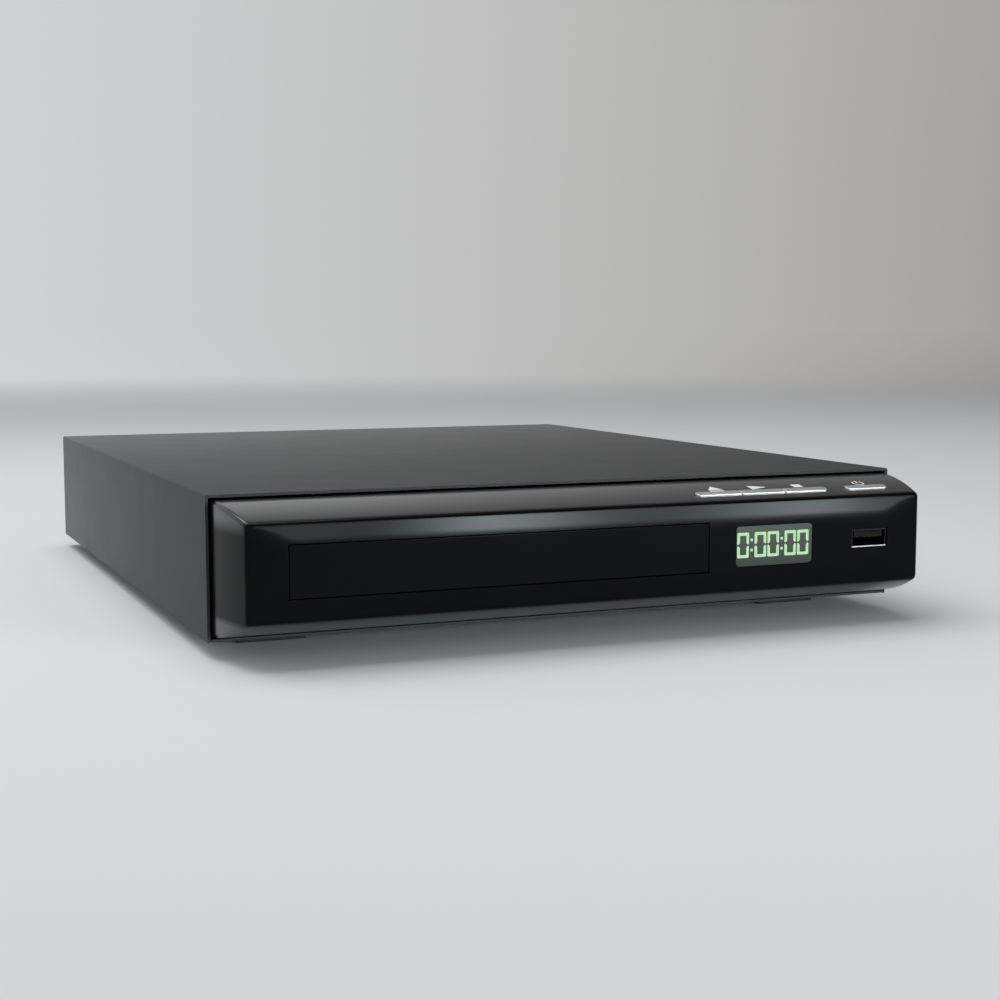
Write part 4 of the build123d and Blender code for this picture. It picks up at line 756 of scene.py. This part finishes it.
class PLAYER_OT_front(bpy.types.Operator):
    """Moulds the gloss front: four bevels round a crowned face, with its openings"""

    bl_idname = "player.front"
    bl_label = "Front Moulding"

    def execute(self, context):
        sizes = context.scene.player_sizes
        colours = context.scene.player_colours
        edge = CASE_FRONT - BEVEL_REACH
        panel = empty_piece("gloss_front")
        rings = []
        count = sizes.shell_stations
        for t in (-BEVEL_TUCK / BEVEL_REACH, *(station / count for station in range(count + 1))):
            shape = max(t, 0.0)
            rings.append((
                CASE_FRONT - BEVEL_REACH * t,
                bevel_half_width(shape), bevel_bottom(shape), bevel_top(shape),
                sizes.corner_rounding,
            ))
        rim_width, rim_low, rim_high = bevel_half_width(1.0), bevel_bottom(1.0), bevel_top(1.0)
        for share, corner in CROWN_OUTLINES:
            rings.append((
                edge + (FACE - edge) * share,
                rim_width + (FLAT_HALF - rim_width) * share,
                rim_low + (FLAT_LOW - rim_low) * share,
                rim_high + (FLAT_HIGH - rim_high) * share,
                sizes.crown_corner * corner,
            ))
        for ring in rings:
            outline(*ring)
        depths = [ring[0] for ring in rings]
        for first, second in zip(depths, depths[1:]):
            take(panel, lambda v, a=first, b=second: min(abs(v.co.y - a), abs(v.co.y - b)) < VERY_NEAR)
            bpy.ops.mesh.bridge_edge_loops()
        take(panel, lambda v: abs(v.co.y - FACE) < VERY_NEAR)
        bpy.ops.mesh.edge_face_add()
        take(panel, lambda e: all(abs(v.co.y - edge) < VERY_NEAR for v in e.verts), "EDGE")
        bpy.ops.mesh.bevel(offset=sizes.rim_rounding, segments=6, profile=0.5, affect="EDGES")
        take(panel, lambda e: all(abs(v.co.y - FACE) < VERY_NEAR for v in e.verts), "EDGE")
        bpy.ops.mesh.bevel(offset=sizes.crease_rounding, segments=6, profile=0.5, affect="EDGES")
        outward(panel)
        add_modifier(panel, "SOLIDIFY", thickness=sizes.wall, offset=-1.0)
        cut(
            panel,
            opening("door_tool", door_low, door_high, DOOR_GAP),
            opening(
                "window_tool", window_low, window_high, WINDOW_GAP, window_high.y,
                plate, WINDOW_CORNER + WINDOW_GAP,
            ),
            opening("view_tool", window_low, window_high, -WINDOW_LEDGE),
            opening("port_tool", socket_low, socket_high, PORT_GAP),
        )
        for first, last in (("eject", "stop"), ("power", "power")):
            left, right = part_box(first + "_button")[0].x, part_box(last + "_button")[1].x
            tool = bar(
                "slot_tool", left - BAR_GAP, right + BAR_GAP, BAR_HALF + BAR_GAP,
                -SLOT_HALF_DEPTH, SLOT_HALF_DEPTH, True, True,
            )
            tool.data.transform(bevel_frame(0, BAR_REACH))
            cut(panel, tool)
        for name, end, away in POSTS:
            post = key_post(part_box(name + "_button")[end].x + away)
            add_modifier(panel, "BOOLEAN", operation="UNION", object=post, solver="EXACT")
            bpy.data.objects.remove(post)
        break_edges(panel, sizes.cut_edge, 2, 55)
        settle(panel, "gloss_front", FRONT_SMOOTH_ANGLE)
        face_first(panel)
        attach(panel, "case")
        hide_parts("front_panel")

        flap = block("tray_flap", door_low, door_high, DOOR_ROUNDING)
        settle(flap, "tray_flap")
        face_first(flap)
        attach(flap, "tray")
        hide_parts("tray_front")

        gloss = Finish("Gloss black moulding", Specular_IOR_Level=0.055, Coat_Roughness=0.16)
        gloss.look(Base_Color=gloss.tint(gloss.noise(35, 3), colours.gloss, 0.8, 1.25))
        satin = gloss.part("Y").ramp(SATIN_START, SATIN_LENGTH)
        handled = gloss.noise(18, 4) * 0.03
        gloss.look(Roughness=0.15 + handled + satin * (0.035 + gloss.noise(500) * 0.04))
        upper = gloss.part("Z").ramp(UPPER_START, UPPER_LENGTH)
        lower = gloss.part("Z").ramp(LOWER_START, LOWER_LENGTH)
        gloss.look(Coat_Weight=satin * (upper * 0.9 + lower * 0.8 + 0.05))
        gloss.bump(gloss.noise(1500), 0.000006, 0.4)
        gloss.on(panel, flap)
        return {"FINISHED"}


class PLAYER_OT_keys(bpy.types.Operator):
    """Makes the four silver keys"""

    bl_idname = "player.keys"
    bl_label = "Keys"

    def execute(self, context):
        lacquer = context.scene.player_colours.silver
        silver = Finish("Silver lacquer", Metallic=0.8, Coat_Weight=0.25, Coat_Roughness=0.1)
        silver.look(Base_Color=silver.tint(silver.noise(2500), lacquer, 0.88, 1.12))
        silver.look(Roughness=0.26 + silver.noise(700) * 0.1)
        silver.bump(silver.noise(1800), 0.000005)
        for name in SYMBOLS:
            low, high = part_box(name + "_button")
            flange = block(
                "flange", (low.x, -FLANGE_HALF, FLANGE_LOW), (high.x, FLANGE_HALF, FLANGE_HIGH),
                FLANGE_ROUNDING, 2,
            )
            face = bar(
                "bar", low.x, high.x, BAR_HALF, BAR_LOW, BAR_HIGH,
                name in ("eject", "power"), name in ("stop", "power"),
            )
            break_edges(face, BAR_ROUNDING, 5, 50)
            key = join(flange, face)
            key.data.transform(bevel_frame(0, BAR_REACH))
            settle(key, name + "_bar")
            face_first(key)
            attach(key, name + "_key")
            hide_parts(name + "_button")
            silver.on(key)
        return {"FINISHED"}


def flat_shape(corners, place, size, turn=0.0):
    """Adds a flat triangle or square to the figure in edit mode, its size given before any turn."""
    bpy.ops.mesh.select_all(action="DESELECT")
    where = (place[0] * MM, place[1] * MM, 0)
    if corners == 3:
        bpy.ops.mesh.primitive_circle_add(
            vertices=3, radius=1, fill_type="NGON", location=where, rotation=(0, 0, turn)
        )
    else:
        bpy.ops.mesh.primitive_plane_add(size=1, location=where)
    bpy.ops.transform.resize(value=(size[0] * MM, size[1] * MM, 1), center_override=where)


def flat_ring(figure, radius, width, gap):
    """Adds a flat ring with a gap at its top."""
    bpy.ops.mesh.select_all(action="DESELECT")
    inner, outer = (radius - width / 2) * MM, (radius + width / 2) * MM
    bpy.ops.mesh.primitive_circle_add(vertices=60, radius=inner, fill_type="NOTHING")
    bpy.ops.mesh.extrude_edges_move()
    bpy.ops.transform.resize(value=(outer / inner, outer / inner, 1), center_override=(0, 0, 0))
    take(figure, lambda f: f.calc_center_median().y > radius * MM * 0.5
         and abs(f.calc_center_median().x) < gap / 2 * MM, "FACE")
    bpy.ops.mesh.delete(type="FACE")


def figure_finish(figure, place, thickness):
    """Gives the flat figure its thickness, downwards, and puts it in its place."""
    take(figure, lambda f: f.normal.z < 0, "FACE")
    bpy.ops.mesh.flip_normals()
    bpy.ops.mesh.select_all(action="SELECT")
    bpy.ops.mesh.extrude_region_move(TRANSFORM_OT_translate={"value": (0, 0, -thickness)})
    outward(figure)
    figure.data.transform(place)
    settle(figure)


class PLAYER_OT_symbols(bpy.types.Operator):
    """Prints the plain symbols for eject, play, stop and power behind the keys"""

    bl_idname = "player.symbols"
    bl_label = "Printed Symbols"

    def execute(self, context):
        lift = context.scene.player_sizes.print_lift
        ink = moulded("White ink", context.scene.player_colours.ink, 0.5, 6000, 0.000004)
        for name, (shift, shapes) in SYMBOLS.items():
            low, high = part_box(name + "_button")
            figure = empty_piece(name + "_symbol")
            if name == "power":
                flat_ring(figure, **POWER_RING)
            for shape in shapes:
                flat_shape(*shape)
            place = bevel_frame((low.x + high.x) / 2 + shift * MM, SYMBOL_REACH, lift)
            figure_finish(figure, place, SYMBOL_THICKNESS)
            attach(figure, "case")
            ink.on(figure)
        return {"FINISHED"}


def half_nought(figures, left, width, height, upper):
    """Adds half of a nought: a bar and two short sides whose free ends taper, as in a lit display."""
    stroke = FIGURE_STROKE * MM
    tall = height / 2 * MM + FIGURE_LAP * stroke
    low, high = (height * MM - tall, height * MM) if upper else (0.0, tall)
    closed, free = (high, low) if upper else (low, high)
    left, right = left * MM, (left + width) * MM
    flat_shape(4, ((left + right) / 2 / MM, (low + high) / 2 / MM), (width, tall / MM))
    bpy.ops.mesh.inset(thickness=stroke)
    bpy.ops.mesh.delete(type="FACE")

    def within(v):
        return left - NEAR < v.co.x < right + NEAR and low - NEAR < v.co.y < high + NEAR

    take(figures, lambda f: all(within(v) for v in f.verts)
         and abs(f.calc_center_median().y - free) < stroke * 0.6
         and abs(f.calc_center_median().x - (left + right) / 2) < stroke * 0.5, "FACE")
    bpy.ops.mesh.delete(type="FACE")
    for level, cut_back in ((free, FIGURE_TAPER * stroke), (closed, FIGURE_CORNER * MM)):
        take(figures, lambda v, z=level: within(v) and abs(v.co.y - z) < NEAR
             and min(abs(v.co.x - left), abs(v.co.x - right)) < NEAR)
        bpy.ops.mesh.bevel(affect="VERTICES", offset=cut_back, segments=1)


class PLAYER_OT_display(bpy.types.Operator):
    """Makes the smoked window and its lit figures"""

    bl_idname = "player.display"
    bl_label = "Display"

    def execute(self, context):
        colours = context.scene.player_colours
        window = plate("smoked_window", window_low, window_high, WINDOW_CORNER)
        break_edges(window, WINDOW_ROUNDING, 3, 60)
        settle(window, "smoked_window")
        face_first(window)
        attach(window, "case")
        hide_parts("display_window")
        smoked = Finish("Smoked window", Specular_IOR_Level=0.3)
        # Painted highlight and painted shade: the smoked window's colour runs from darker at its bottom to
        # paler at its top, standing in for the light it reflects.
        height = smoked.part("Z").ramp(window_low.z, window_high.z - window_low.z)
        smoked.look(
            Base_Color=smoked.tint(height, colours.window, 0.6, 1.2),
            Roughness=0.10 + smoked.noise(300) * 0.06,
        )
        smoked.bump(smoked.noise(900), 0.000004, 0.4)
        smoked.on(window)

        lit_low, lit_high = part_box("display_digits")
        height = (lit_high.z - lit_low.z) / MM
        space = ((lit_high.x - lit_low.x) / MM + FIGURE_SPACING - 2 * COLON_WIDTH) / 5
        width = space - FIGURE_SPACING
        figures = empty_piece("lit_figures")
        pen = 0.0
        for sign in "0:00:00":
            if sign == ":":
                for share in COLON_HEIGHTS:
                    middle = (pen + (COLON_WIDTH - FIGURE_SPACING) / 2, height * share)
                    flat_shape(4, middle, (COLON_DOT, COLON_DOT))
                pen += COLON_WIDTH
            else:
                for upper in (False, True):
                    half_nought(figures, pen, width, height, upper)
                pen += space
        place = Matrix.Translation((lit_low.x, lit_low.y + FIGURE_SETBACK, lit_low.z))
        figure_finish(figures, place @ Matrix.Rotation(math.pi / 2, 4, "X"), FIGURE_THICKNESS)
        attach(figures, "case")
        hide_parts("display_digits")
        lit = Finish("Lit figures", Roughness=0.5, Emission_Strength=0.69, Specular_IOR_Level=0.08)
        flicker = lit.noise(900)
        lit.look(
            Base_Color=lit.tint(flicker, colours.figures, 0.10, 0.16),
            Emission_Color=lit.tint(flicker, colours.figures, 0.92, 1.08),
        )
        lit.on(figures)
        return {"FINISHED"}


def paint_finish(colours):
    """Satin powder paint with a fine orange peel."""
    paint = Finish("Satin cover paint", Specular_IOR_Level=0.30)
    cloud = paint.noise(22, 4, (1, 0.5, 1))
    paint.look(Base_Color=paint.tint(cloud, colours.paint, 0.9, 1.1))
    worn = paint.part("Y").ramp(CASE_FRONT, CASE_BACK - CASE_FRONT)
    paint.look(Roughness=0.53 + paint.noise(55, 4) * 0.07 - worn * 0.21)
    paint.bump(paint.noise(2600, 3), 0.00002, 0.8)
    return paint


def zinc_finish(name="Zinc sheet", colour=(0.50, 0.51, 0.53)):
    """Zinc-plated sheet with faint spangles."""
    zinc = Finish(name, Metallic=1.0)
    spangle = zinc.grains(420)
    zinc.look(Base_Color=zinc.tint(spangle, colour, 0.85, 1.1))
    zinc.look(Roughness=0.34 + spangle * 0.12 + zinc.noise(90, 3) * 0.06)
    zinc.bump(zinc.noise(700, 3), 0.00001)
    return zinc


def drawn_finish(name, colour, roughness, stretch=(1, 1, 30)):
    """Bright drawn metal with fine lines."""
    metal = Finish(name, Metallic=1.0)
    lines = metal.noise(160, 3, stretch=stretch)
    metal.look(Base_Color=metal.tint(lines, colour, 0.88, 1.08))
    metal.look(Roughness=roughness + lines * 0.14)
    metal.bump(lines, 0.000006)
    return metal


def board_finish():
    """Green solder resist over copper traces."""
    board = Finish("Solder resist", Specular_IOR_Level=0.5)
    cells = board.node(
        "ShaderNodeTexVoronoi", {"distance": "MANHATTAN"}, "Color", Vector=board.place(), Scale=70
    )
    choice = board.node("ShaderNodeSeparateColor", Color=cells)
    pitch = 1.3 * MM
    across = (board.part("X") / pitch).fraction() < 0.42
    along = ((board.part("Y") + board.part("Z")) / pitch).fraction() < 0.42
    traces = across * (choice > 0.6) + along * (choice < 0.4) + ((choice > 0.4) * (choice < 0.6))
    traces = traces.limit()
    board.look(Base_Color=board.blend(traces, (0.008, 0.058, 0.022), (0.016, 0.115, 0.045)))
    board.look(Roughness=0.30 + board.noise(200) * 0.1)
    board.bump(traces, 0.00003)
    return board


def laminated_finish():
    """Dark core of thin sheets, with a lacquered winding."""
    core = Finish("Transformer core", Specular_IOR_Level=0.4)
    layers = (core.part("Z") / (0.5 * MM)).fraction()
    cloud = core.noise(300, 3)
    core.look(Base_Color=core.blend(cloud, (0.04, 0.038, 0.038), (0.085, 0.08, 0.078)))
    core.look(Roughness=0.42 + layers * 0.15)
    core.bump(layers, 0.00004)
    return core


def striped_finish():
    """Flat white cable with a line for each conductor."""
    cable = Finish("Flat cable", Specular_IOR_Level=0.4)
    lines = (cable.part("X") / (1.0 * MM)).fraction()
    lines = (lines > 0.3) * (lines < 0.8)
    cable.look(Base_Color=cable.blend(lines, (0.78, 0.79, 0.80), (0.52, 0.54, 0.56)))
    cable.look(Roughness=0.4 + cable.noise(300) * 0.1)
    cable.bump(lines, 0.00004)
    return cable


def lens_finish():
    """Coated lens: deep blue glass in a dark holder."""
    lens = Finish("Coated lens", Coat_Weight=1.0, Coat_Roughness=0.02)
    low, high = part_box("pickup_lens")
    middle = (low + high) / 2
    away = ((lens.part("X") - middle.x) ** 2 + (lens.part("Y") - middle.y) ** 2) ** 0.5
    glass = (away < (high.x - low.x) * 0.3) * (lens.part("Z") > high.z - 0.8 * MM)
    lens.look(Base_Color=lens.blend(glass, (0.012, 0.012, 0.013), (0.03, 0.05, 0.16)))
    lens.look(Roughness=0.42 - glass * 0.36 + lens.noise(800) * 0.04)
    return lens


def insert_finish():
    """Jack inserts in the usual colours, one for each jack."""
    jack = Finish("Jack inserts", Specular_IOR_Level=0.5)
    low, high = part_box("jack_inserts")
    step = (high.x - low.x) / 4
    colour = (0.75, 0.50, 0.02)
    for number, other in enumerate(((0.80, 0.80, 0.78), (0.55, 0.02, 0.02), (0.80, 0.24, 0.02))):
        place = low.x + step * (number + 1)
        colour = jack.blend(jack.part("X") > place, colour, other)
    jack.look(Base_Color=colour, Roughness=0.32 + jack.noise(500) * 0.1)
    jack.bump(jack.noise(3000), 0.000006)
    return jack


def contact_finish():
    """Nickel shell of the front socket, coloured near black as painted shade of its opening, with a painted
    highlight along its lower lip and copper contacts inside.
    """
    shell = Finish("Socket shell", Metallic=1.0)
    low, high = socket_low, socket_high
    # Painted highlight along the shell's lower lip, where light from above catches it; the rest of the
    # shell is painted shade, near black.
    painted_lip_glint = (shell.part("Z") < low.z + 0.45 * MM) * (shell.part("Y") < low.y + 0.8 * MM)
    inside = (shell.part("Z") > low.z + 1.2 * MM) * (shell.part("Z") < high.z - 0.5 * MM)
    inside = inside * (shell.part("X") > low.x + 0.7 * MM) * (shell.part("X") < high.x - 0.7 * MM)
    shell_tone_with_painted_light = shell.blend(painted_lip_glint, (0.018, 0.018, 0.019), (0.42, 0.42, 0.43))
    shell_tone_with_painted_light = shell.blend(inside, shell_tone_with_painted_light, (0.62, 0.30, 0.17))
    shell.look(Base_Color=shell_tone_with_painted_light, Roughness=0.3 + shell.noise(900) * 0.15)
    shell.bump(shell.noise(1500), 0.000004)
    return shell


def sleeve_finish():
    """Shrunk sleeve of the capacitors, bare metal on top."""
    sleeve = Finish("Capacitor sleeve", Specular_IOR_Level=0.5)
    low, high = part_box("power_capacitors")
    top = sleeve.part("Z") > high.z - 0.25 * MM
    cloud = sleeve.noise(200)
    dark = sleeve.blend(cloud, (0.008, 0.012, 0.035), (0.014, 0.022, 0.06))
    sleeve.look(Base_Color=sleeve.blend(top, dark, (0.55, 0.55, 0.56)), Metallic=top)
    sleeve.look(Roughness=0.3 + cloud * 0.08)
    return sleeve


def loose_parts(piece):
    """Boxes of a piece's separate shells."""
    form = bmesh.new()
    form.from_mesh(piece.data)
    left = set(form.verts)
    boxes = []
    while left:
        group, edge = set(), {left.pop()}
        while edge:
            group |= edge
            edge = {e.other_vert(v) for v in edge for e in v.link_edges} - group
        left -= group
        places = [v.co for v in group]
        boxes.append([Vector([end(p[i] for p in places) for i in range(3)]) for end in (min, max)])
    form.free()
    return boxes


def cross_recess(piece, axis, scale):
    """Cuts a cross into the head of each screw of a piece, at its high end along an axis."""
    across = [i for i in range(3) if i != axis]
    for long_side in across:
        tools = []
        for low, high in loose_parts(piece):
            middle = (low + high) / 2
            middle[axis] = high[axis]
            size = Vector((0, 0, 0))
            for i in across:
                size[i] = (CROSS_LENGTH if i == long_side else CROSS_WIDTH) * scale
            size[axis] = 2 * CROSS_DEPTH
            tools.append(block("cross", middle - size / 2, middle + size / 2))
        cut(piece, join(*tools) if len(tools) > 1 else tools[0])


# Node, rounding of its edges in millimetres, slot and finish, by operator
DRESSED = {
    "case": (
        ("top_cover", 0.12, "painted_cover", "paint"),
        ("bottom_chassis", 0.1, "painted_cover", "paint"),
        *((f"foot_{end}_{side}", 0.4, "rubber_black", "rubber")
          for end in ("front", "rear") for side in ("left", "right")),
        ("rear_panel", 0.08, "zinc_steel", "zinc"),
        ("cover_screws", 0.25, "nickel", "nickel"),
    ),
    "sockets": (
        ("usb_socket", 0.0, "bright_steel", "contact"),
        ("usb_tongue", 0.1, "black_plastic", "tongue"),
        ("jack_block", 0.25, "black_plastic", "black"),
        ("jack_shells", 0.15, "nickel", "nickel"),
        ("jack_inserts", 0.12, "jack_plastic", "insert"),
        ("video_socket", 0.12, "nickel", "nickel"),
        ("power_inlet", 0.25, "black_plastic", "black"),
        ("inlet_pins", 0.3, "nickel", "nickel"),
    ),
    "loader": (
        ("disc_tray", 0.2, "black_plastic", "tray"),
        ("loader_frame", 0.25, "black_plastic", "black"),
        ("drive_gear", 0.0, "white_plastic", "white"),
        ("pulley_gear", 0.0, "white_plastic", "white"),
        ("motor_pulley", 0.0, "white_plastic", "white"),
        ("drive_belt", 0.0, "belt_rubber", "rubber"),
        ("loading_motor", 0.25, "bright_steel", "steel"),
        ("cam_slider", 0.15, "white_plastic", "white"),
        ("clamp_bridge", 0.25, "black_plastic", "black"),
        ("clamper", 0.2, "grey_plastic", "grey"),
    ),
    "pickup": (
        ("lift_frame", 0.2, "grey_plastic", "grey"),
        ("rubber_dampers", 0.3, "rubber_black", "rubber"),
        ("drive_deck", 0.1, "zinc_steel", "zinc"),
        ("guide_rods", 0.15, "bright_steel", "steel"),
        ("spindle_motor", 0.2, "bright_steel", "steel"),
        ("turntable", 0.15, "black_plastic", "black"),
        ("pickup_sled", 0.15, "cast_metal", "cast"),
        ("pickup_lens", 0.0, "lens_glass", "lens"),
        ("sled_gear", 0.0, "white_plastic", "white"),
        ("sled_pinion", 0.0, "white_plastic", "white"),
        ("sled_motor", 0.25, "bright_steel", "steel"),
    ),
    "boards": (
        *((name + "_board", 0.12, "circuit_board", "board")
          for name in ("front", "button", "main", "power")),
        ("display_module", 0.2, "black_plastic", "black"),
        ("ir_receiver", 0.15, "chip_black", "chip"),
        ("tact_switches", 0.1, "black_plastic", "black"),
        ("standoffs", 0.12, "nickel", "nickel"),
        ("board_screws", 0.25, "nickel", "nickel"),
        ("board_components", 0.15, "chip_black", "chip"),
        ("heat_sink", 0.1, "cast_metal", "cast"),
        ("ribbon_cable", 0.0, "white_plastic", "cable"),
        ("transformer", 0.3, "ferrite", "core"),
        ("power_capacitors", 0.4, "can_sleeve", "sleeve"),
    ),
}
FINISHES = {}


def finish_for(kind, colours):
    """Makes each finish once, when it is first asked for."""
    makers = {
        "paint": lambda: paint_finish(colours),
        "zinc": zinc_finish,
        "nickel": lambda: drawn_finish("Nickel plating", (0.62, 0.60, 0.56), 0.20, (1, 1, 1)),
        "steel": lambda: drawn_finish("Bright steel", (0.60, 0.60, 0.61), 0.16),
        "cast": lambda: zinc_finish("Cast metal", (0.42, 0.43, 0.44)),
        "rubber": lambda: moulded("Foot rubber", (0.012, 0.012, 0.012), 0.7, 4000, 0.00002),
        "black": lambda: moulded("Black moulding", (0.014, 0.014, 0.015), 0.42),
        # The socket tongue is a darker copy of the black moulding: painted shade of the socket's opening.
        "tongue": lambda: moulded("Socket tongue", (0.003, 0.003, 0.003), 0.55, Specular_IOR_Level=0.08),
        "tray": lambda: moulded("Tray moulding", (0.018, 0.018, 0.019), 0.36, 7000, 0.000012),
        "grey": lambda: moulded("Grey moulding", (0.22, 0.225, 0.23), 0.45),
        "white": lambda: moulded("White acetal", (0.72, 0.71, 0.68), 0.36, 5000, 0.000006),
        "chip": lambda: moulded("Chip resin", (0.012, 0.012, 0.013), 0.5, 6000, 0.000012),
        "board": board_finish,
        "core": laminated_finish,
        "cable": striped_finish,
        "lens": lens_finish,
        "insert": insert_finish,
        "contact": contact_finish,
        "sleeve": sleeve_finish,
    }
    if kind not in FINISHES:
        FINISHES[kind] = makers[kind]()
    return FINISHES[kind]


def dress(group, context):
    """Replaces each node of a group with its finished copy, and says so for the group's operator."""
    for node, rounding, slot, kind in DRESSED[group]:
        piece = dressed_copy(node, rounding * MM)
        if node in SCREWS:
            cross_recess(piece, *SCREWS[node])
        smooth(piece)
        face_first(piece)
        finish_for(kind, context.scene.player_colours).on(piece)
    return {"FINISHED"}


class PLAYER_OT_case(bpy.types.Operator):
    """Finishes the cover, the pan, the feet and the rear panel"""

    bl_idname = "player.case"
    bl_label = "Case"

    def execute(self, context):
        return dress("case", context)


class PLAYER_OT_sockets(bpy.types.Operator):
    """Finishes the front socket and the jacks and inlet at the rear"""

    bl_idname = "player.sockets"
    bl_label = "Sockets"

    def execute(self, context):
        return dress("sockets", context)


class PLAYER_OT_loader(bpy.types.Operator):
    """Finishes the tray, its frame and its gear train"""

    bl_idname = "player.loader"
    bl_label = "Loader"

    def execute(self, context):
        return dress("loader", context)


class PLAYER_OT_pickup(bpy.types.Operator):
    """Finishes the lift, the deck, the spindle and the pickup"""

    bl_idname = "player.pickup"
    bl_label = "Pickup"

    def execute(self, context):
        return dress("pickup", context)


class PLAYER_OT_boards(bpy.types.Operator):
    """Finishes the boards and what they carry"""

    bl_idname = "player.boards"
    bl_label = "Boards"

    def execute(self, context):
        return dress("boards", context)


STEPS = ("stage", "front", "keys", "symbols", "display", "case", "sockets", "loader", "pickup", "boards")
GROUPS = {"player_sizes": PlayerSizes, "player_colours": PlayerColours, "player_stage": PlayerStage}


class PLAYER_PT_sidebar(bpy.types.Panel):
    """Lists the steps that dress the player"""

    bl_label = "Disc Player"
    bl_idname = "PLAYER_PT_sidebar"
    bl_space_type = "VIEW_3D"
    bl_region_type = "UI"
    bl_category = "Disc Player"

    def draw(self, context):
        for step in STEPS:
            self.layout.operator("player." + step)
        for group in (getattr(context.scene, name) for name in GROUPS):
            for name in group.bl_rna.properties.keys():
                if name not in ("rna_type", "name"):
                    self.layout.prop(group, name)


CLASSES = (
    *GROUPS.values(),
    PLAYER_OT_stage, PLAYER_OT_front, PLAYER_OT_keys, PLAYER_OT_symbols, PLAYER_OT_display,
    PLAYER_OT_case, PLAYER_OT_sockets, PLAYER_OT_loader, PLAYER_OT_pickup, PLAYER_OT_boards,
    PLAYER_PT_sidebar,
)


def register():
    for item in CLASSES:
        bpy.utils.register_class(item)
    for name, group in GROUPS.items():
        setattr(bpy.types.Scene, name, bpy.props.PointerProperty(type=group))


def unregister():
    for name in reversed(GROUPS):
        delattr(bpy.types.Scene, name)
    for item in reversed(CLASSES):
        bpy.utils.unregister_class(item)


def main():
    register()
    for step in STEPS:
        getattr(bpy.ops.player, step)()


if __name__ == "__main__":
    main()
